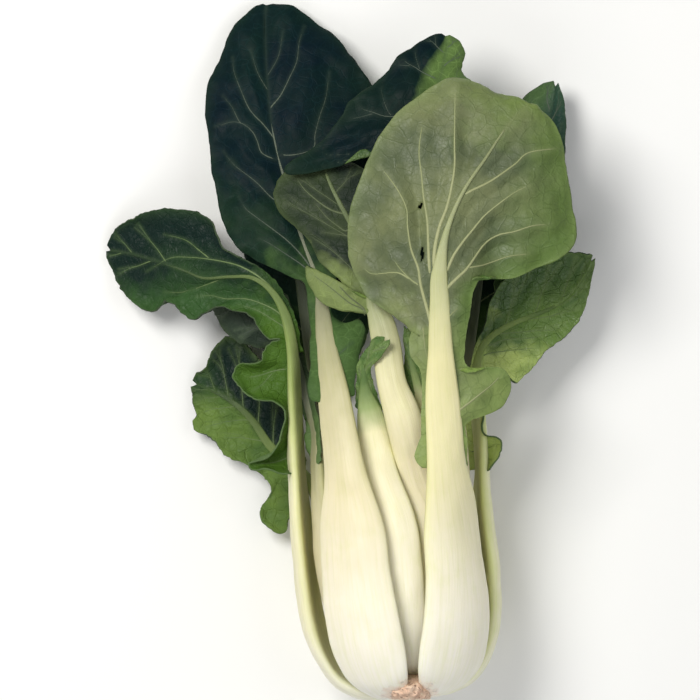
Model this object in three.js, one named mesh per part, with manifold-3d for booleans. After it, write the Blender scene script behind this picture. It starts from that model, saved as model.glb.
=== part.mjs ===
// A head of bok choy lying on its side: thirteen leaves round a short root core.
// Millimetres, +Z up, leaf tips toward +Y, the cut root toward -Y.
import * as THREE from 'three';
import manifoldModule from 'manifold-3d';

const wasm = await manifoldModule();
wasm.setup();
const { Manifold, Mesh: SolidMesh } = wasm;

// Driving sizes
const axisHeight = 38.4; // middle of the bulb above the table
const axisX = 20.6; // middle of the bulb at y = -100
const axisLean = -0.09; // sideways drift of the axis per millimetre of y
const flattening = 0.9; // height of the bulb over its width
const rootTilt = 0.08; // the root end is cut slightly aslant
const bladeThick = 1; // leaf blade
const gap = 0.3; // left between a midrib and its blade
const stalkSides = 12; // corners round a stalk
const rowSpacing = 0.1; // least distance between the rows of a blade, along its spine
const flatness = 0.18; // faces nearer to one plane than this are joined
const stalkBend = 40; // radius that a stalk's section is curled to

const colours = {
  stalk: '#ece6cf',
  root: '#cdb59a',
  darkBlade: '#24402c',
  midBlade: '#41693a',
  paleBlade: '#8b9b6a',
};

// Stalk rows near the root: reach from the axis, y, width, thickness
const outerRing = [
  [8.2, -147, 6.2, 5.2], [19, -146.2, 15.5, 5.6], [29, -140.6, 22, 6], [36, -129.5, 27, 6.5],
  [40, -114, 29, 7], [41.2, -96, 30, 7], [41, -76, 28, 6.6],
];
const innerRing = [
  [5, -138.6, 4, 4], [13, -137.6, 10, 4.5], [21, -132, 15, 5], [27, -121, 18, 5],
  [31, -106, 20, 5.4], [33, -90, 20, 5.4], [33, -74, 18, 5.2],
];
const middleRing = [
  [5, -137, 2.2, 2.8], [11, -135.4, 5, 3.4], [18, -130.4, 10, 4.6], [23, -120, 15, 5.2],
  [26.5, -104, 17, 5.2], [28, -88, 17, 5.2], [28, -72, 16, 5.2],
];
const heartRing = [
  [2.8, -133.6, 2.4, 3.4], [8, -131.6, 7, 4], [13, -125, 11, 4.5], [17, -115, 14, 5],
  [20, -100, 17, 5], [21, -82, 18, 5], [21, -66, 17, 5],
];

const radians = (degrees) => (degrees * Math.PI) / 180;

// A smooth curve through rows of numbers, one row for each whole u
function smooth(rows, u) {
  const last = rows.length - 1;
  const i = Math.min(Math.max(Math.floor(u), 0), last - 1);
  const t = u - i;
  return rows[0].map((_, k) => {
    const b = rows[i][k];
    const c = rows[i + 1][k];
    const a = i > 0 ? rows[i - 1][k] : 2 * b - c;
    const d = i + 2 <= last ? rows[i + 2][k] : 2 * c - b;
    return b + (t * (c - a + t * (2 * a - 5 * b + 4 * c - d + t * (3 * (b - c) + d - a)))) / 2;
  });
}

// Rows of a stalk inside the bulb: x, y, z, width, thickness and the direction of its outer face;
// spread makes it broader than the ring's own row, and foot does so near the root only
function ringRows(ring, angle, spread = 1, foot = 1) {
  const side = [Math.cos(radians(angle)), Math.sin(radians(angle))];
  return ring.map(([reach, y, width, thick], i) => {
    const before = ring[Math.max(i - 1, 0)];
    const after = ring[Math.min(i + 1, ring.length - 1)];
    const nearFoot = 1 + (foot - 1) * [0.2, 0.4, 1, 0.7, 0.2, 0, 0][i];
    const broad = (reach < ring.at(-1)[0] ? spread : (1 + spread) / 2) * nearFoot;
    const slope = Math.atan2(after[0] - before[0], after[1] - before[1]);
    const lift = rootTilt * reach * side[0] * Math.max(0, (-100 - y) / 50);
    return [
      axisX + axisLean * (y + 100) + reach * side[0], y + lift,
      axisHeight + flattening * reach * side[1], width * broad, thick,
      side[0] * Math.cos(slope), -Math.sin(slope), side[1] * Math.cos(slope),
    ];
  });
}

// Rows of a stalk outside the bulb, from x, y, z, width, thickness, outer face in degrees
const freeRows = (rows) => rows.map(([x, y, z, width, thick, face = 90]) => [
  x, y, z, width, thick, Math.cos(radians(face)), 0, Math.sin(radians(face)),
]);

// Centre and directions of a leaf's spine at u
function spineAt(spine, u) {
  const row = smooth(spine, u);
  const ahead = smooth(spine, u + 0.02);
  const behind = smooth(spine, u - 0.02);
  const along = new THREE.Vector3(ahead[0] - behind[0], ahead[1] - behind[1], ahead[2] - behind[2]);
  along.normalize();
  const out = new THREE.Vector3(row[5], row[6], row[7]);
  const side = out.cross(along).normalize();
  return {
    centre: new THREE.Vector3(row[0], row[1], row[2]), width: row[3], thick: row[4],
    along, side, out: along.clone().cross(side),
  };
}

function solidFrom(points, faces) {
  const vertProperties = new Float32Array(points.flatMap((p) => [p.x, p.y, p.z]));
  const mesh = new SolidMesh({ numProp: 3, vertProperties, triVerts: new Uint32Array(faces.flat()) });
  mesh.merge();
  return Manifold.ofMesh(mesh);
}

// One stalk: a curled, rounded section carried along the spine and narrowed into the midrib
function stalkSolid(leaf, grow = 0) {
  const points = [];
  const faces = [];
  const rings = leaf.rings ?? 19;
  for (let i = 0; i <= rings; i += 1) {
    const s = spineAt(leaf.spine, (leaf.stalkEnd * i) / rings);
    for (let k = 0; k < stalkSides; k += 1) {
      const turn = (2 * Math.PI * (k + 0.5)) / stalkSides;
      const across = (Math.cos(turn) * (s.width + 2 * grow)) / 2;
      const depth = Math.sign(Math.sin(turn)) * Math.abs(Math.sin(turn)) ** 0.7;
      const radius = stalkBend + (depth * (s.thick + 2 * grow)) / 2;
      const curl = across / stalkBend;
      const p = s.centre.clone()
        .addScaledVector(s.side, radius * Math.sin(curl))
        .addScaledVector(s.out, radius * Math.cos(curl) - stalkBend);
      if (grow > 0 && i === rings) p.addScaledVector(s.along, grow);
      p.z = Math.max(p.z, grow > 0 ? -grow : 0);
      points.push(p);
      const n = (k + 1) % stalkSides;
      const here = i * stalkSides;
      if (i < rings) {
        faces.push([here + k, here + n, here + stalkSides + n]);
        faces.push([here + k, here + stalkSides + n, here + stalkSides + k]);
      }
    }
  }
  const lid = rings * stalkSides;
  for (let k = 1; k < stalkSides - 1; k += 1) {
    faces.push([0, k + 1, k]);
    faces.push([lid, lid + k, lid + k + 1]);
  }
  return solidFrom(points, faces).simplify(grow > 0 ? 0 : flatness);
}

// Point of a blade's margin at u, from rows of u, x, y, z; before its first row it stays in the stalk
function marginAt(margin, u, spine, turn) {
  if (u < margin[0][0]) return spine.centre.clone().addScaledVector(spine.side, (turn * spine.width) / 4);
  let i = 0;
  while (i < margin.length - 2 && margin[i + 1][0] <= u) i += 1;
  const share = (u - margin[i][0]) / (margin[i + 1][0] - margin[i][0]);
  const [, x, y, z] = smooth(margin, i + Math.min(Math.max(share, 0), 1));
  return new THREE.Vector3(x, y, z);
}

// One blade: rows run straight from the midrib to both margins, arched a little, one sheet thick
function bladeSolid(leaf) {
  const { left, right, arch = 1.5, cells = 3 } = leaf.blade;
  const stops = [...left, ...right].map((row) => row[0]).sort((a, b) => a - b);
  const start = Math.min(left[0][0], right[0][0]);
  const end = Math.min(left.at(-1)[0], right.at(-1)[0]);
  const rows = [start];
  for (const stop of [...stops.filter((v) => v > start && v < end), end]) {
    const from = rows.at(-1);
    if (stop - from < rowSpacing && stop < end) continue;
    const parts = Math.max(1, Math.ceil((stop - from) / 0.5));
    for (let i = 1; i <= parts; i += 1) rows.push(from + ((stop - from) * i) / parts);
  }
  const columns = 2 * cells + 1;
  const sheet = [];
  for (const u of rows) {
    const s = spineAt(leaf.spine, u);
    const ends = { [-1]: marginAt(left, u, s, 1), 1: marginAt(right, u, s, -1) };
    for (let c = -cells; c <= cells; c += 1) {
      const reach = ends[c < 0 ? -1 : 1].clone().sub(s.centre);
      const t = Math.abs(c) / cells;
      const up = reach.clone().cross(s.along).normalize().multiplyScalar(c < 0 ? -1 : 1);
      sheet.push(s.centre.clone().addScaledVector(reach, t)
        .addScaledVector(up, Math.min(arch, reach.length() * 0.08) * 4 * t * (1 - t)));
    }
  }
  const cellFaces = [];
  for (let r = 0; r < rows.length - 1; r += 1) {
    for (let c = 0; c < columns - 1; c += 1) {
      const a = r * columns + c;
      cellFaces.push([a, a + 1, a + columns + 1], [a, a + columns + 1, a + columns]);
    }
  }
  const flat = new THREE.BufferGeometry();
  flat.setAttribute('position', new THREE.Float32BufferAttribute(sheet.flatMap((p) => [p.x, p.y, p.z]), 3));
  flat.setIndex(cellFaces.flat());
  flat.computeVertexNormals();
  const normals = flat.getAttribute('normal');
  const face = (direction) => sheet.map((p, i) => {
    const n = new THREE.Vector3(normals.getX(i), normals.getY(i), normals.getZ(i));
    const q = p.clone();
    q.z = Math.max(q.z, bladeThick / 2);
    q.addScaledVector(n, (direction * bladeThick) / 2);
    q.z = Math.max(q.z, 0);
    return q;
  });
  const count = sheet.length;
  const faces = [...cellFaces, ...cellFaces.map(([a, b, c]) => [a + count, c + count, b + count])];
  const rim = [];
  for (let c = 0; c < columns - 1; c += 1) rim.push([c, c + 1]);
  for (let r = 0; r < rows.length - 1; r += 1) {
    rim.push([r * columns + columns - 1, (r + 1) * columns + columns - 1]);
  }
  for (let c = columns - 1; c > 0; c -= 1) rim.push([count - columns + c, count - columns + c - 1]);
  for (let r = rows.length - 1; r > 0; r -= 1) rim.push([r * columns, (r - 1) * columns]);
  for (const [a, b] of rim) faces.push([b, a, a + count], [b, a + count, b + count]);
  const whole = solidFrom([...face(1), ...face(-1)], faces);
  const cut = whole.subtract(stalkSolid(leaf, gap));
  const largest = (solid) => solid.decompose().sort((a, b) => b.volume() - a.volume())[0];
  return largest(largest(cut).simplify(flatness));
}

// The short core that every stalk grows from, with the cut scar at its lower end
function rootSolid() {
  const profile = [
    [0, -149], [5.4, -149], [6.9, -148], [6.9, -144.8], [4.2, -143.4], [4.2, -138], [2, -136.4],
    [0, -136.4],
  ];
  const lathe = new THREE.LatheGeometry(profile.map(([r, y]) => new THREE.Vector2(r, y)), 24);
  lathe.translate(axisX + axisLean * -46, 0, axisHeight);
  const position = lathe.getAttribute('position');
  const points = Array.from({ length: position.count }, (_, i) => (
    new THREE.Vector3().fromBufferAttribute(position, i)
  ));
  const index = Array.from(lathe.getIndex().array);
  const faces = [];
  for (let i = 0; i < index.length; i += 3) faces.push([index[i], index[i + 1], index[i + 2]]);
  const solid = solidFrom(points, faces);
  return solid.volume() > 0 ? solid : solidFrom(points, faces.map(([a, b, c]) => [a, c, b]));
}

const leaves = {
  // broad pale leaf in front, its back to the eye
  front: {
    colour: 'paleBlade', stalkEnd: 15,
    spine: [
      ...ringRows(outerRing, 50, 1.2, 1.24),
      ...freeRows([
        [41.5, -50, 72.5, 18.5, 6.5, 66], [39.3, -20, 74, 14.5, 6, 82], [38.5, 0, 75, 10.6, 5.5, 88],
        [38.2, 20, 75.5, 7.4, 5, 90], [38, 32, 76, 5.4, 4.2, 90], [41, 50, 76, 3.2, 3.2, 90],
        [48, 67, 75, 2.4, 2.6, 90], [58, 82, 73, 1.9, 2.1, 90], [66, 94, 70, 1.4, 1.6, 90],
        [72, 101, 67.5, 1, 1], [76.3, 105.3, 65.5, 1, 1],
      ]),
    ],
    blade: {
      cells: 4,
      left: [
        [7, 31.2, -50.5, 75], [7.12, 28.5, -48.5, 74.5], [7.2, 27, -45.5, 74], [7.3, 27.8, -42, 74],
        [7.45, 30, -37, 75], [7.6, 30, -33, 75.5], [8.4, 30, -11, 75], [8.55, 28, -5.5, 74],
        [8.7, 26, -1.5, 73], [8.9, 26.2, 4.5, 72], [9.05, 27, 8.2, 72], [9.2, 23, 10.5, 70.5],
        [9.4, 17, 14.5, 68.5], [9.6, 11, 18.8, 66.5], [9.8, 6.5, 22.5, 65.5], [10.1, 2.5, 28.5, 65],
        [10.5, -1.2, 36, 65.5], [11, -2.2, 45, 66], [11.5, -1.3, 56, 66.5], [12, 1.6, 66, 67],
        [12.5, 6, 77, 67], [13, 11.5, 90, 66.5], [13.5, 19, 101, 65.5], [14, 28, 109, 64],
        [14.5, 36.5, 114.8, 62.5], [15, 44.5, 116.5, 61], [15.5, 54.5, 114, 61],
        [16, 63, 111, 62], [16.5, 69.5, 108.5, 63], [17, 74.8, 106, 64.5],
      ],
      right: [
        [7, 51.6, -50.5, 69.5], [7.3, 50.8, -42, 70], [7.6, 49.6, -32.5, 71], [7.7, 56, -29.3, 69.5],
        [7.82, 62, -27, 68], [7.95, 66.5, -23.5, 67], [8.1, 69, -17.5, 66.5], [8.25, 68.2, -12.3, 67],
        [8.4, 65, -8.3, 68], [8.5, 60, -7.1, 70], [8.6, 54, -7.8, 71.5], [8.72, 50, -5.5, 72.5],
        [9, 49.5, 1, 73.5], [9.5, 49.8, 9, 74], [10, 51.5, 20.5, 74], [10.4, 53.5, 26.5, 73.5],
        [10.7, 56.5, 29.6, 72.5], [11, 62, 28.6, 71], [11.3, 69, 29.8, 69.5], [11.6, 78.5, 34, 67.5],
        [11.9, 88, 38.3, 66], [12.2, 95.5, 44.5, 65], [12.6, 97.4, 52.5, 64.5], [13, 96.2, 61, 64.5],
        [13.5, 94, 72, 65], [14, 92.6, 81, 65], [14.5, 90.5, 90, 65], [15, 87.5, 97.5, 65],
        [15.5, 84.5, 101, 65], [16, 81.5, 103, 65], [16.5, 79.3, 104.2, 65], [17, 77.4, 105, 65],
      ],
    },
  },
  // broad white stalk left of the front leaf, with the long dark blade
  dark: {
    colour: 'darkBlade', stalkEnd: 16,
    spine: [
      ...ringRows(outerRing, 117, 1.2, 1.14),
      ...freeRows([
        [-2.8, -50, 69, 19, 6.2, 116], [-7, -20, 60, 14.5, 5.6, 112], [-10, 0, 51.5, 9.6, 5, 104],
        [-13.5, 27, 41, 4.6, 3.8, 94], [-20, 46, 35, 3.6, 3.2, 90], [-26, 66, 30, 2.8, 2.8, 90],
        [-31, 83, 26, 2.3, 2.4, 90], [-34.3, 100, 22, 2, 2, 90], [-36, 118, 17, 1.6, 1.6, 90],
        [-36.8, 133, 12, 1.3, 1.3, 90], [-37, 143, 8.5, 1, 1], [-36.2, 149.6, 6.5, 1, 1],
      ]),
    ],
    blade: {
      cells: 4, arch: 2.5,
      left: [
        [8, -15.5, -20.5, 56], [9, -16.8, 0, 49.5], [9.6, -17.6, 17, 43], [10, -19, 29, 40],
        [10.2, -28, 33.6, 37], [10.5, -40, 39.6, 32], [10.8, -47, 44.6, 29.5], [11.2, -52.5, 52, 27],
        [11.6, -56, 61.5, 25], [12, -58, 71, 23], [12.5, -60, 82, 21], [13, -60.6, 91, 19],
        [13.5, -62, 102, 16], [14, -61.5, 113, 13.5], [14.5, -58.5, 122.5, 11.5], [15, -55, 131, 9.5],
        [15.5, -50.5, 139, 8], [16, -45.3, 144.8, 6.5], [16.5, -41.5, 148.8, 5.5],
        [17, -39.3, 149.7, 5.2], [18, -37.6, 150.1, 5.2],
      ],
      right: [
        [8, 1.6, -20, 58.5], [8.2, 1.4, -14, 56], [8.4, 2, -8, 53.5], [8.6, 3.6, -1, 51.5],
        [8.8, 5.6, 5, 50], [9, 6, 9.8, 48.5], [9.15, 3.6, 12.8, 47], [9.3, 0, 11.5, 46.5],
        [9.45, -4.6, 12.2, 46], [9.6, -8, 15, 45], [9.8, -8.4, 21, 43], [10, -8.2, 27.5, 41.5],
        [10.4, -2, 36, 38.5], [11, 11, 54, 34], [12, 17.5, 78, 28], [13, 17, 98, 23],
        [14, 10.5, 112, 18.5], [14.6, 4.5, 120.5, 15.5], [15.2, -2, 129, 12.5], [16, -9.5, 136.8, 9],
        [16.5, -15, 141, 7.5], [17, -22, 146, 6.3], [17.5, -28, 149, 5.7], [18, -33.5, 150.1, 5.2],
      ],
    },
  },
  // white stalk bent at a bright bulge, its blade behind the front one
  bent: {
    colour: 'paleBlade', stalkEnd: 17,
    spine: [
      ...ringRows(middleRing, 53),
      ...freeRows([
        [28.4, -54, 58.5, 14.6, 5.4, 80], [22.9, -30, 65.2, 15.4, 9, 88], [17.9, -14, 62, 12.6, 5.8, 90],
        [15.6, 2, 58.5, 12.4, 5.2, 92], [13.2, 12.5, 56, 11, 4.4, 94], [10.8, 19, 54.5, 8, 3.6, 94],
        [8, 30, 53.5, 3.4, 2.8, 90], [6, 44, 52, 2.6, 2.4, 90], [-1.5, 57.5, 50, 2.2, 2, 90],
        [-7.5, 69, 47, 1.7, 1.6, 90], [-10.5, 76, 44.5, 1.3, 1.3, 90], [-12, 80.5, 43.2, 1, 1],
      ]),
    ],
    blade: {
      arch: 1.2,
      left: [
        [11.6, 3.6, 15.6, 54.5], [11.72, -3, 16.4, 53.5], [11.84, -10, 18.8, 52.2],
        [11.93, -15.5, 24, 51], [12.02, -18.7, 31, 50], [12.1, -18.6, 36.4, 49.5],
        [12.18, -10, 31.3, 50.5], [12.26, 1, 24.2, 53], [12.34, -1, 27.2, 52], [12.45, -8, 33.6, 50.5],
        [12.6, -13, 38, 49], [12.85, -15.8, 44, 47.5], [13.2, -20, 50.4, 46], [13.7, -27, 56, 44.5],
        [14.2, -30.8, 61, 43.5], [14.7, -32.6, 67, 42.5], [15.2, -31.5, 72, 42], [15.7, -28, 76, 41.8],
        [16.3, -23, 79.4, 41.8], [17, -18, 81.6, 42], [18, -13.6, 82.2, 42.5],
      ],
      right: [
        [11.6, 18.8, 15.5, 54.5], [12, 17.6, 21, 54.5], [13, 22, 32, 53], [14, 26, 47, 50.5],
        [15, 21, 62, 48], [16, 9, 75, 45], [17, -2, 81, 43], [18, -9.8, 82.4, 42.4],
      ],
    },
  },
  // dark blade above the head, its stalk behind the front one
  crest: {
    colour: 'darkBlade', stalkEnd: 15,
    spine: [
      ...ringRows(innerRing, 18),
      ...freeRows([
        [46.5, -50, 52, 15, 4.8, 35], [43, -20, 54, 12, 4.4, 60], [41, 5, 55.5, 9, 4, 80],
        [39, 30, 57, 7, 3.6, 90], [37, 55, 57.5, 5.4, 3.2, 90], [35, 78, 56.5, 4, 2.8, 90],
        [35.5, 98, 53.5, 2.2, 2, 90], [38, 113, 49.5, 1.7, 1.6, 90], [40.5, 125, 45.5, 1.3, 1.3, 90],
        [41.6, 131, 43.5, 1, 1], [41, 134.8, 42.4, 1, 1],
      ]),
    ],
    blade: {
      left: [
        [10.6, 34, 46, 57], [11.2, 27, 60, 56.5], [11.8, 19, 75, 55.5], [12.4, 6.5, 85.6, 53],
        [12.6, -2, 80, 51.5], [12.8, -12, 77, 50], [12.95, -22, 75.6, 49], [13.06, -28, 76.2, 48.5],
        [13.2, -24.5, 79.6, 48], [13.4, -17.5, 84.8, 47.5], [13.6, -11, 90.5, 47],
        [13.8, -5, 98, 46.5], [14, 0, 106, 46], [14.3, 8.5, 112.6, 45], [14.7, 16, 119.5, 44],
        [15.1, 22, 126.5, 43], [15.6, 29, 132, 42.2], [16.2, 35, 135, 42], [17, 39.4, 135.8, 42],
      ],
      right: [
        [10.6, 43, 46, 57], [11, 52, 57, 56.5], [12, 58, 80, 54.5], [13, 60, 99, 51],
        [14, 54, 112.5, 47.5], [14.5, 49, 118.5, 45.5], [15, 48.4, 122.5, 44.2],
        [15.5, 49.4, 127, 43.2], [16, 48.3, 131, 42.6], [16.5, 45.4, 133.6, 42.3],
        [17, 42.8, 135.2, 42.2],
      ],
    },
  },
  // small crumpled leaf of the heart, its tip lying over the bent stalk
  heart: {
    colour: 'midBlade', stalkEnd: 11, rings: 15,
    spine: [
      ...ringRows(innerRing, 88),
      ...freeRows([
        [12.6, -54, 63.5, 16.5, 5, 94], [10.4, -40, 60.4, 14, 4.4, 94], [8.6, -28, 58.8, 11.4, 3.6, 94],
        [6.4, -17, 58.6, 5, 2.6, 92], [6.4, -7.5, 60.4, 2, 1.6, 90], [10.3, 0.2, 64, 1, 1],
        [14.6, 3.8, 65.4, 1, 1],
      ]),
    ],
    blade: {
      arch: 0.8,
      left: [
        [9.2, 2.2, -24.5, 56.8], [9.4, 2.4, -21, 57], [9.7, 2.4, -17, 57.2], [10.1, 2.6, -12.5, 58.2],
        [10.6, 2.8, -8.5, 59.5], [11, 3.6, -4.6, 60.5], [11.5, 7, 0.6, 62.8], [12, 9.6, 4.6, 64.5],
        [12.5, 12.6, 5.9, 65.6], [13, 14.9, 5.5, 65.8],
      ],
      right: [
        [9.2, 14, -26, 57], [9.4, 13, -22.5, 57.2], [9.7, 11, -17.5, 57.6], [10.1, 9.6, -13, 58.4],
        [10.6, 8.8, -9.5, 60], [11, 9.2, -7, 62.5], [11.5, 12.2, -4, 65], [12, 15, -0.4, 65.8],
        [12.5, 17, 2.8, 65.8], [13, 16.9, 4.5, 65.7],
      ],
    },
  },
  // small leaf between the bent stalk and the front one
  small: {
    colour: 'midBlade', stalkEnd: 11, rings: 15,
    spine: [
      ...ringRows(heartRing, 38),
      ...freeRows([
        [33.8, -45, 51.6, 9, 3.6, 60], [31.4, -27, 54.5, 6, 3, 80], [28.6, -15, 55.4, 4, 2.4, 90],
        [26.2, -5, 55.4, 2.6, 1.8, 90], [25, 3, 54.6, 1.6, 1.4, 90], [24.4, 9, 53.4, 1, 1],
      ]),
    ],
    blade: {
      arch: 0.6,
      left: [
        [8, 27.2, -25, 55], [8.5, 24, -17.5, 55.6], [9, 22.6, -13, 55.8], [9.6, 23, -8, 55.6],
        [10.3, 23.6, -1, 55], [11, 22.8, 4.5, 54.4], [12, 23.3, 10.2, 53],
      ],
      right: [
        [8, 34.6, -27, 54.5], [8.6, 33, -18, 54.8], [9.2, 31, -12, 55.2], [10, 29.4, -4, 55.4],
        [11, 27.6, 4.5, 54.4], [12, 25.6, 10.2, 53],
      ],
    },
  },
  // outer leaf on the left, twisted to show its face
  leftOuter: {
    colour: 'midBlade', stalkEnd: 16,
    spine: [
      ...ringRows(outerRing, 190, 1.06),
      ...freeRows([
        [-23.3, -50, 33.5, 19, 6.2, 190], [-24, -20, 37, 11.5, 4.6, 198], [-24.6, -2, 39.5, 6.5, 3.8, 215],
        [-27.5, 14, 41, 4.4, 3.2, 245], [-33.5, 25, 41, 3.4, 2.8, 265], [-42, 31, 39.5, 3, 2.4, 270],
        [-52, 31.5, 36, 2.6, 2.2, 270], [-63, 31, 31, 2.2, 1.9, 270], [-72, 34.5, 25.5, 1.8, 1.6, 270],
        [-82, 38, 19, 1.4, 1.3, 270], [-92, 41, 12.5, 1, 1, 270], [-99.5, 42.6, 7.5, 1, 1, 270],
        [-104, 43.2, 5, 1, 1, 270],
      ]),
    ],
    blade: {
      arch: 2.5,
      left: [
        [9, -21.2, -1, 34.5], [9.5, -22.3, 7, 36.3], [10, -24, 14.5, 37.8], [10.4, -27, 21.8, 39],
        [10.8, -31, 28.6, 39.5], [11.2, -36, 33.4, 39.5], [11.7, -43, 38.4, 38.5], [12.3, -51, 42, 36],
        [12.6, -55, 46, 34], [12.9, -57.6, 51, 32], [13.3, -61, 56.3, 29], [13.8, -68, 59.8, 26],
        [14.5, -78, 61.2, 21], [15.2, -86, 60.4, 17], [16, -93, 57.8, 12.5], [17, -99.5, 54.2, 8.5],
        [18, -103.5, 50, 5.5], [19, -105.5, 45.6, 4],
      ],
      right: [
        [6.9, -26.5, -54.5, 44], [7.04, -33, -53.2, 44], [7.12, -40, -52, 42], [7.2, -43.6, -49, 41],
        [7.28, -41, -46.3, 41.5], [7.36, -36, -44.5, 42.5], [7.46, -31.5, -39.5, 44],
        [7.6, -28.8, -33, 45], [7.76, -28.3, -27.5, 45], [7.88, -31, -23.8, 44], [8, -37, -22.3, 42.5],
        [8.12, -44, -20, 40.5], [8.25, -49, -15, 39], [8.38, -50.4, -10.5, 38.5],
        [8.5, -48, -5.8, 39.5], [8.62, -42, -4, 41], [8.76, -38, -3, 42], [8.92, -36.6, 0, 42.2],
        [9.06, -33.5, 2.6, 42.8], [9.3, -30, 5, 43], [9.55, -36, 5.2, 41.5], [9.8, -39.2, 9, 40.5],
        [10.1, -42, 13, 40], [10.5, -47.5, 16.7, 38.5], [11, -54, 18.2, 36], [11.4, -59, 17.4, 33.5],
        [11.7, -63, 14.4, 31.5], [12, -66.5, 12.6, 30], [12.4, -71.5, 14.8, 27.5],
        [12.9, -75.5, 18.7, 25.5], [13.4, -79.5, 21, 23], [13.8, -82.6, 18, 21], [14.3, -88, 17, 17.5],
        [15, -94, 20.4, 13.5], [16, -99.5, 26.4, 9], [17, -103, 33.4, 6], [18, -105.2, 38.8, 4.2],
        [19, -105.9, 42.8, 3.8],
      ],
    },
  },
  // inner leaf on the left, the grey back of its blade below the outer one
  leftInner: {
    colour: 'paleBlade', stalkEnd: 13,
    spine: [
      ...ringRows(innerRing, 160),
      ...freeRows([
        [-14.2, -50, 44, 13, 4.4, 165], [-15.4, -32, 33.5, 9, 3.8, 150], [-21, -13, 25, 5.4, 3, 108],
        [-26, 2, 24.5, 3.8, 2.6, 92], [-33, 13, 24, 2.8, 2.2, 90], [-42, 21, 23, 2.2, 1.8, 90],
        [-50, 27, 21.5, 1.6, 1.4, 90], [-56, 32, 19.5, 1, 1], [-60, 36, 18, 1, 1],
      ]),
    ],
    blade: {
      left: [
        [7, -16.6, -48.5, 37], [7.15, -17.8, -45.6, 36.5], [7.3, -19.4, -42, 36], [7.45, -19.8, -38, 35],
        [7.6, -18.4, -34.4, 33], [7.8, -18.6, -31, 30.5], [8, -19.6, -28, 28], [9, -25.4, -12, 24],
        [9.8, -29.6, -1, 24.3], [10.2, -31, 2.8, 24], [10.5, -35, 1.6, 23.5], [10.8, -40, 0.8, 23],
        [11.1, -45, 2.2, 22.5], [11.5, -50, 4, 21.5], [12, -54.5, 7.5, 20], [12.6, -58, 13, 18.5],
        [13.3, -61, 20, 17.5], [14, -62.5, 27, 17], [15, -62.3, 33.6, 17.3],
      ],
      right: [
        [7, -13, -48, 52.5], [8, -13.6, -30, 41], [9, -17.6, -11, 26.5], [9.8, -21.5, 2, 24.8],
        [10.5, -24, 14, 24.5], [11, -28, 24, 24], [12, -36, 31.5, 22.8], [13, -45, 36, 21],
        [14, -53, 38.4, 19], [15, -58.4, 38, 18],
      ],
    },
  },
  // low leaf on the left, crumpled, close to the table
  leftLow: {
    colour: 'darkBlade', stalkEnd: 13,
    spine: [
      ...ringRows(innerRing, 213),
      ...freeRows([
        [-17, -58, 17.6, 8, 3.6, 214], [-26.5, -49, 13, 5, 3.2, 250],
        [-35, -41, 12.5, 3.8, 2.8, 264], [-42, -31, 12.5, 3, 2.4, 270], [-48.5, -24.5, 12, 2.4, 2.1, 270],
        [-55, -20, 10.5, 1.9, 1.8, 270], [-61, -17, 8.5, 1.3, 1.3, 270], [-66.5, -15, 6.8, 1, 1, 270],
      ]),
    ],
    blade: {
      left: [
        [7.5, -18.6, -47.5, 17.5], [8.2, -24, -38, 17], [9, -28, -27, 16], [10, -33, -13, 14.5],
        [10.6, -40, -3, 13.5], [11.2, -47, 4, 12.5], [11.8, -53.5, 5.8, 11], [12.3, -58, 2.4, 9.5],
        [12.8, -60.8, -2.4, 8.5], [13.2, -63, -7.4, 7.5], [13.6, -66.5, -9.8, 6.5],
        [14, -68.4, -13.2, 6.2],
      ],
      right: [
        [7.5, -21.5, -62, 11.5], [7.56, -25.5, -72, 11], [7.62, -29, -79.5, 10.5],
        [7.7, -34, -77.8, 10], [7.78, -37.7, -74.5, 9.5], [7.86, -39.4, -69.5, 9.5],
        [7.94, -36.4, -65.5, 10], [8.04, -34.2, -61, 10.5], [8.18, -36.2, -56.5, 10.5],
        [8.4, -41.5, -52, 10], [8.8, -48, -49, 9.5], [9.3, -54, -46, 9], [9.8, -58, -40.5, 8.5],
        [10.3, -62, -37.3, 8], [10.9, -67, -35.3, 7], [11.4, -68.4, -31, 6.5],
        [11.8, -66.4, -27.6, 6.5], [12.2, -67.7, -25, 6], [13, -68.5, -20, 5.5], [14, -69.2, -16, 5.8],
      ],
    },
  },
  // outer leaf on the right, its face up
  rightOuter: {
    colour: 'midBlade', stalkEnd: 14,
    spine: [
      ...ringRows(outerRing, 346, 1.1),
      ...freeRows([
        [57, -50, 34.5, 16, 5.4, 352], [55.4, -30, 36.5, 9.5, 4.2, 330], [54.6, -14, 37, 5.5, 3.4, 300],
        [56, -1, 36.5, 3.6, 2.8, 280], [61, 6, 35.5, 2.8, 2.4, 272], [70, 11.3, 33.5, 2.3, 2.1, 270],
        [80, 15.3, 31, 1.9, 1.8, 270], [89, 19.3, 28.5, 1.4, 1.4, 270], [96, 25, 26.5, 1, 1, 270],
        [101, 32, 25, 1, 1, 270], [104.3, 38.3, 24, 1, 1, 270],
      ]),
    ],
    blade: {
      arch: 2,
      left: [
        [6.96, 60.4, -52, 43], [7.05, 62, -50, 42.5], [7.18, 64, -46, 42], [7.32, 65, -42, 41.5],
        [7.46, 64, -38.5, 41.5], [7.6, 60.5, -36.7, 42], [7.72, 58.5, -34.6, 43], [8, 58.6, -30, 42],
        [8.4, 59, -23, 40.5], [8.8, 61, -17.5, 39], [9.2, 64.5, -13.6, 37], [9.5, 68, -12.6, 36],
        [9.7, 71.6, -14.2, 35], [10, 77.5, -8.8, 33], [10.5, 82, -3.5, 31.5], [11, 86.5, 1, 30],
        [11.6, 92, 5, 28.5], [12.2, 96, 9, 27], [12.8, 99.5, 13.5, 26], [13.5, 102, 19.5, 25],
        [14.3, 103.2, 26, 24.5], [15, 104.5, 32, 24], [16, 105.7, 37, 23.5], [17, 106, 39.8, 23.5],
      ],
      right: [
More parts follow.
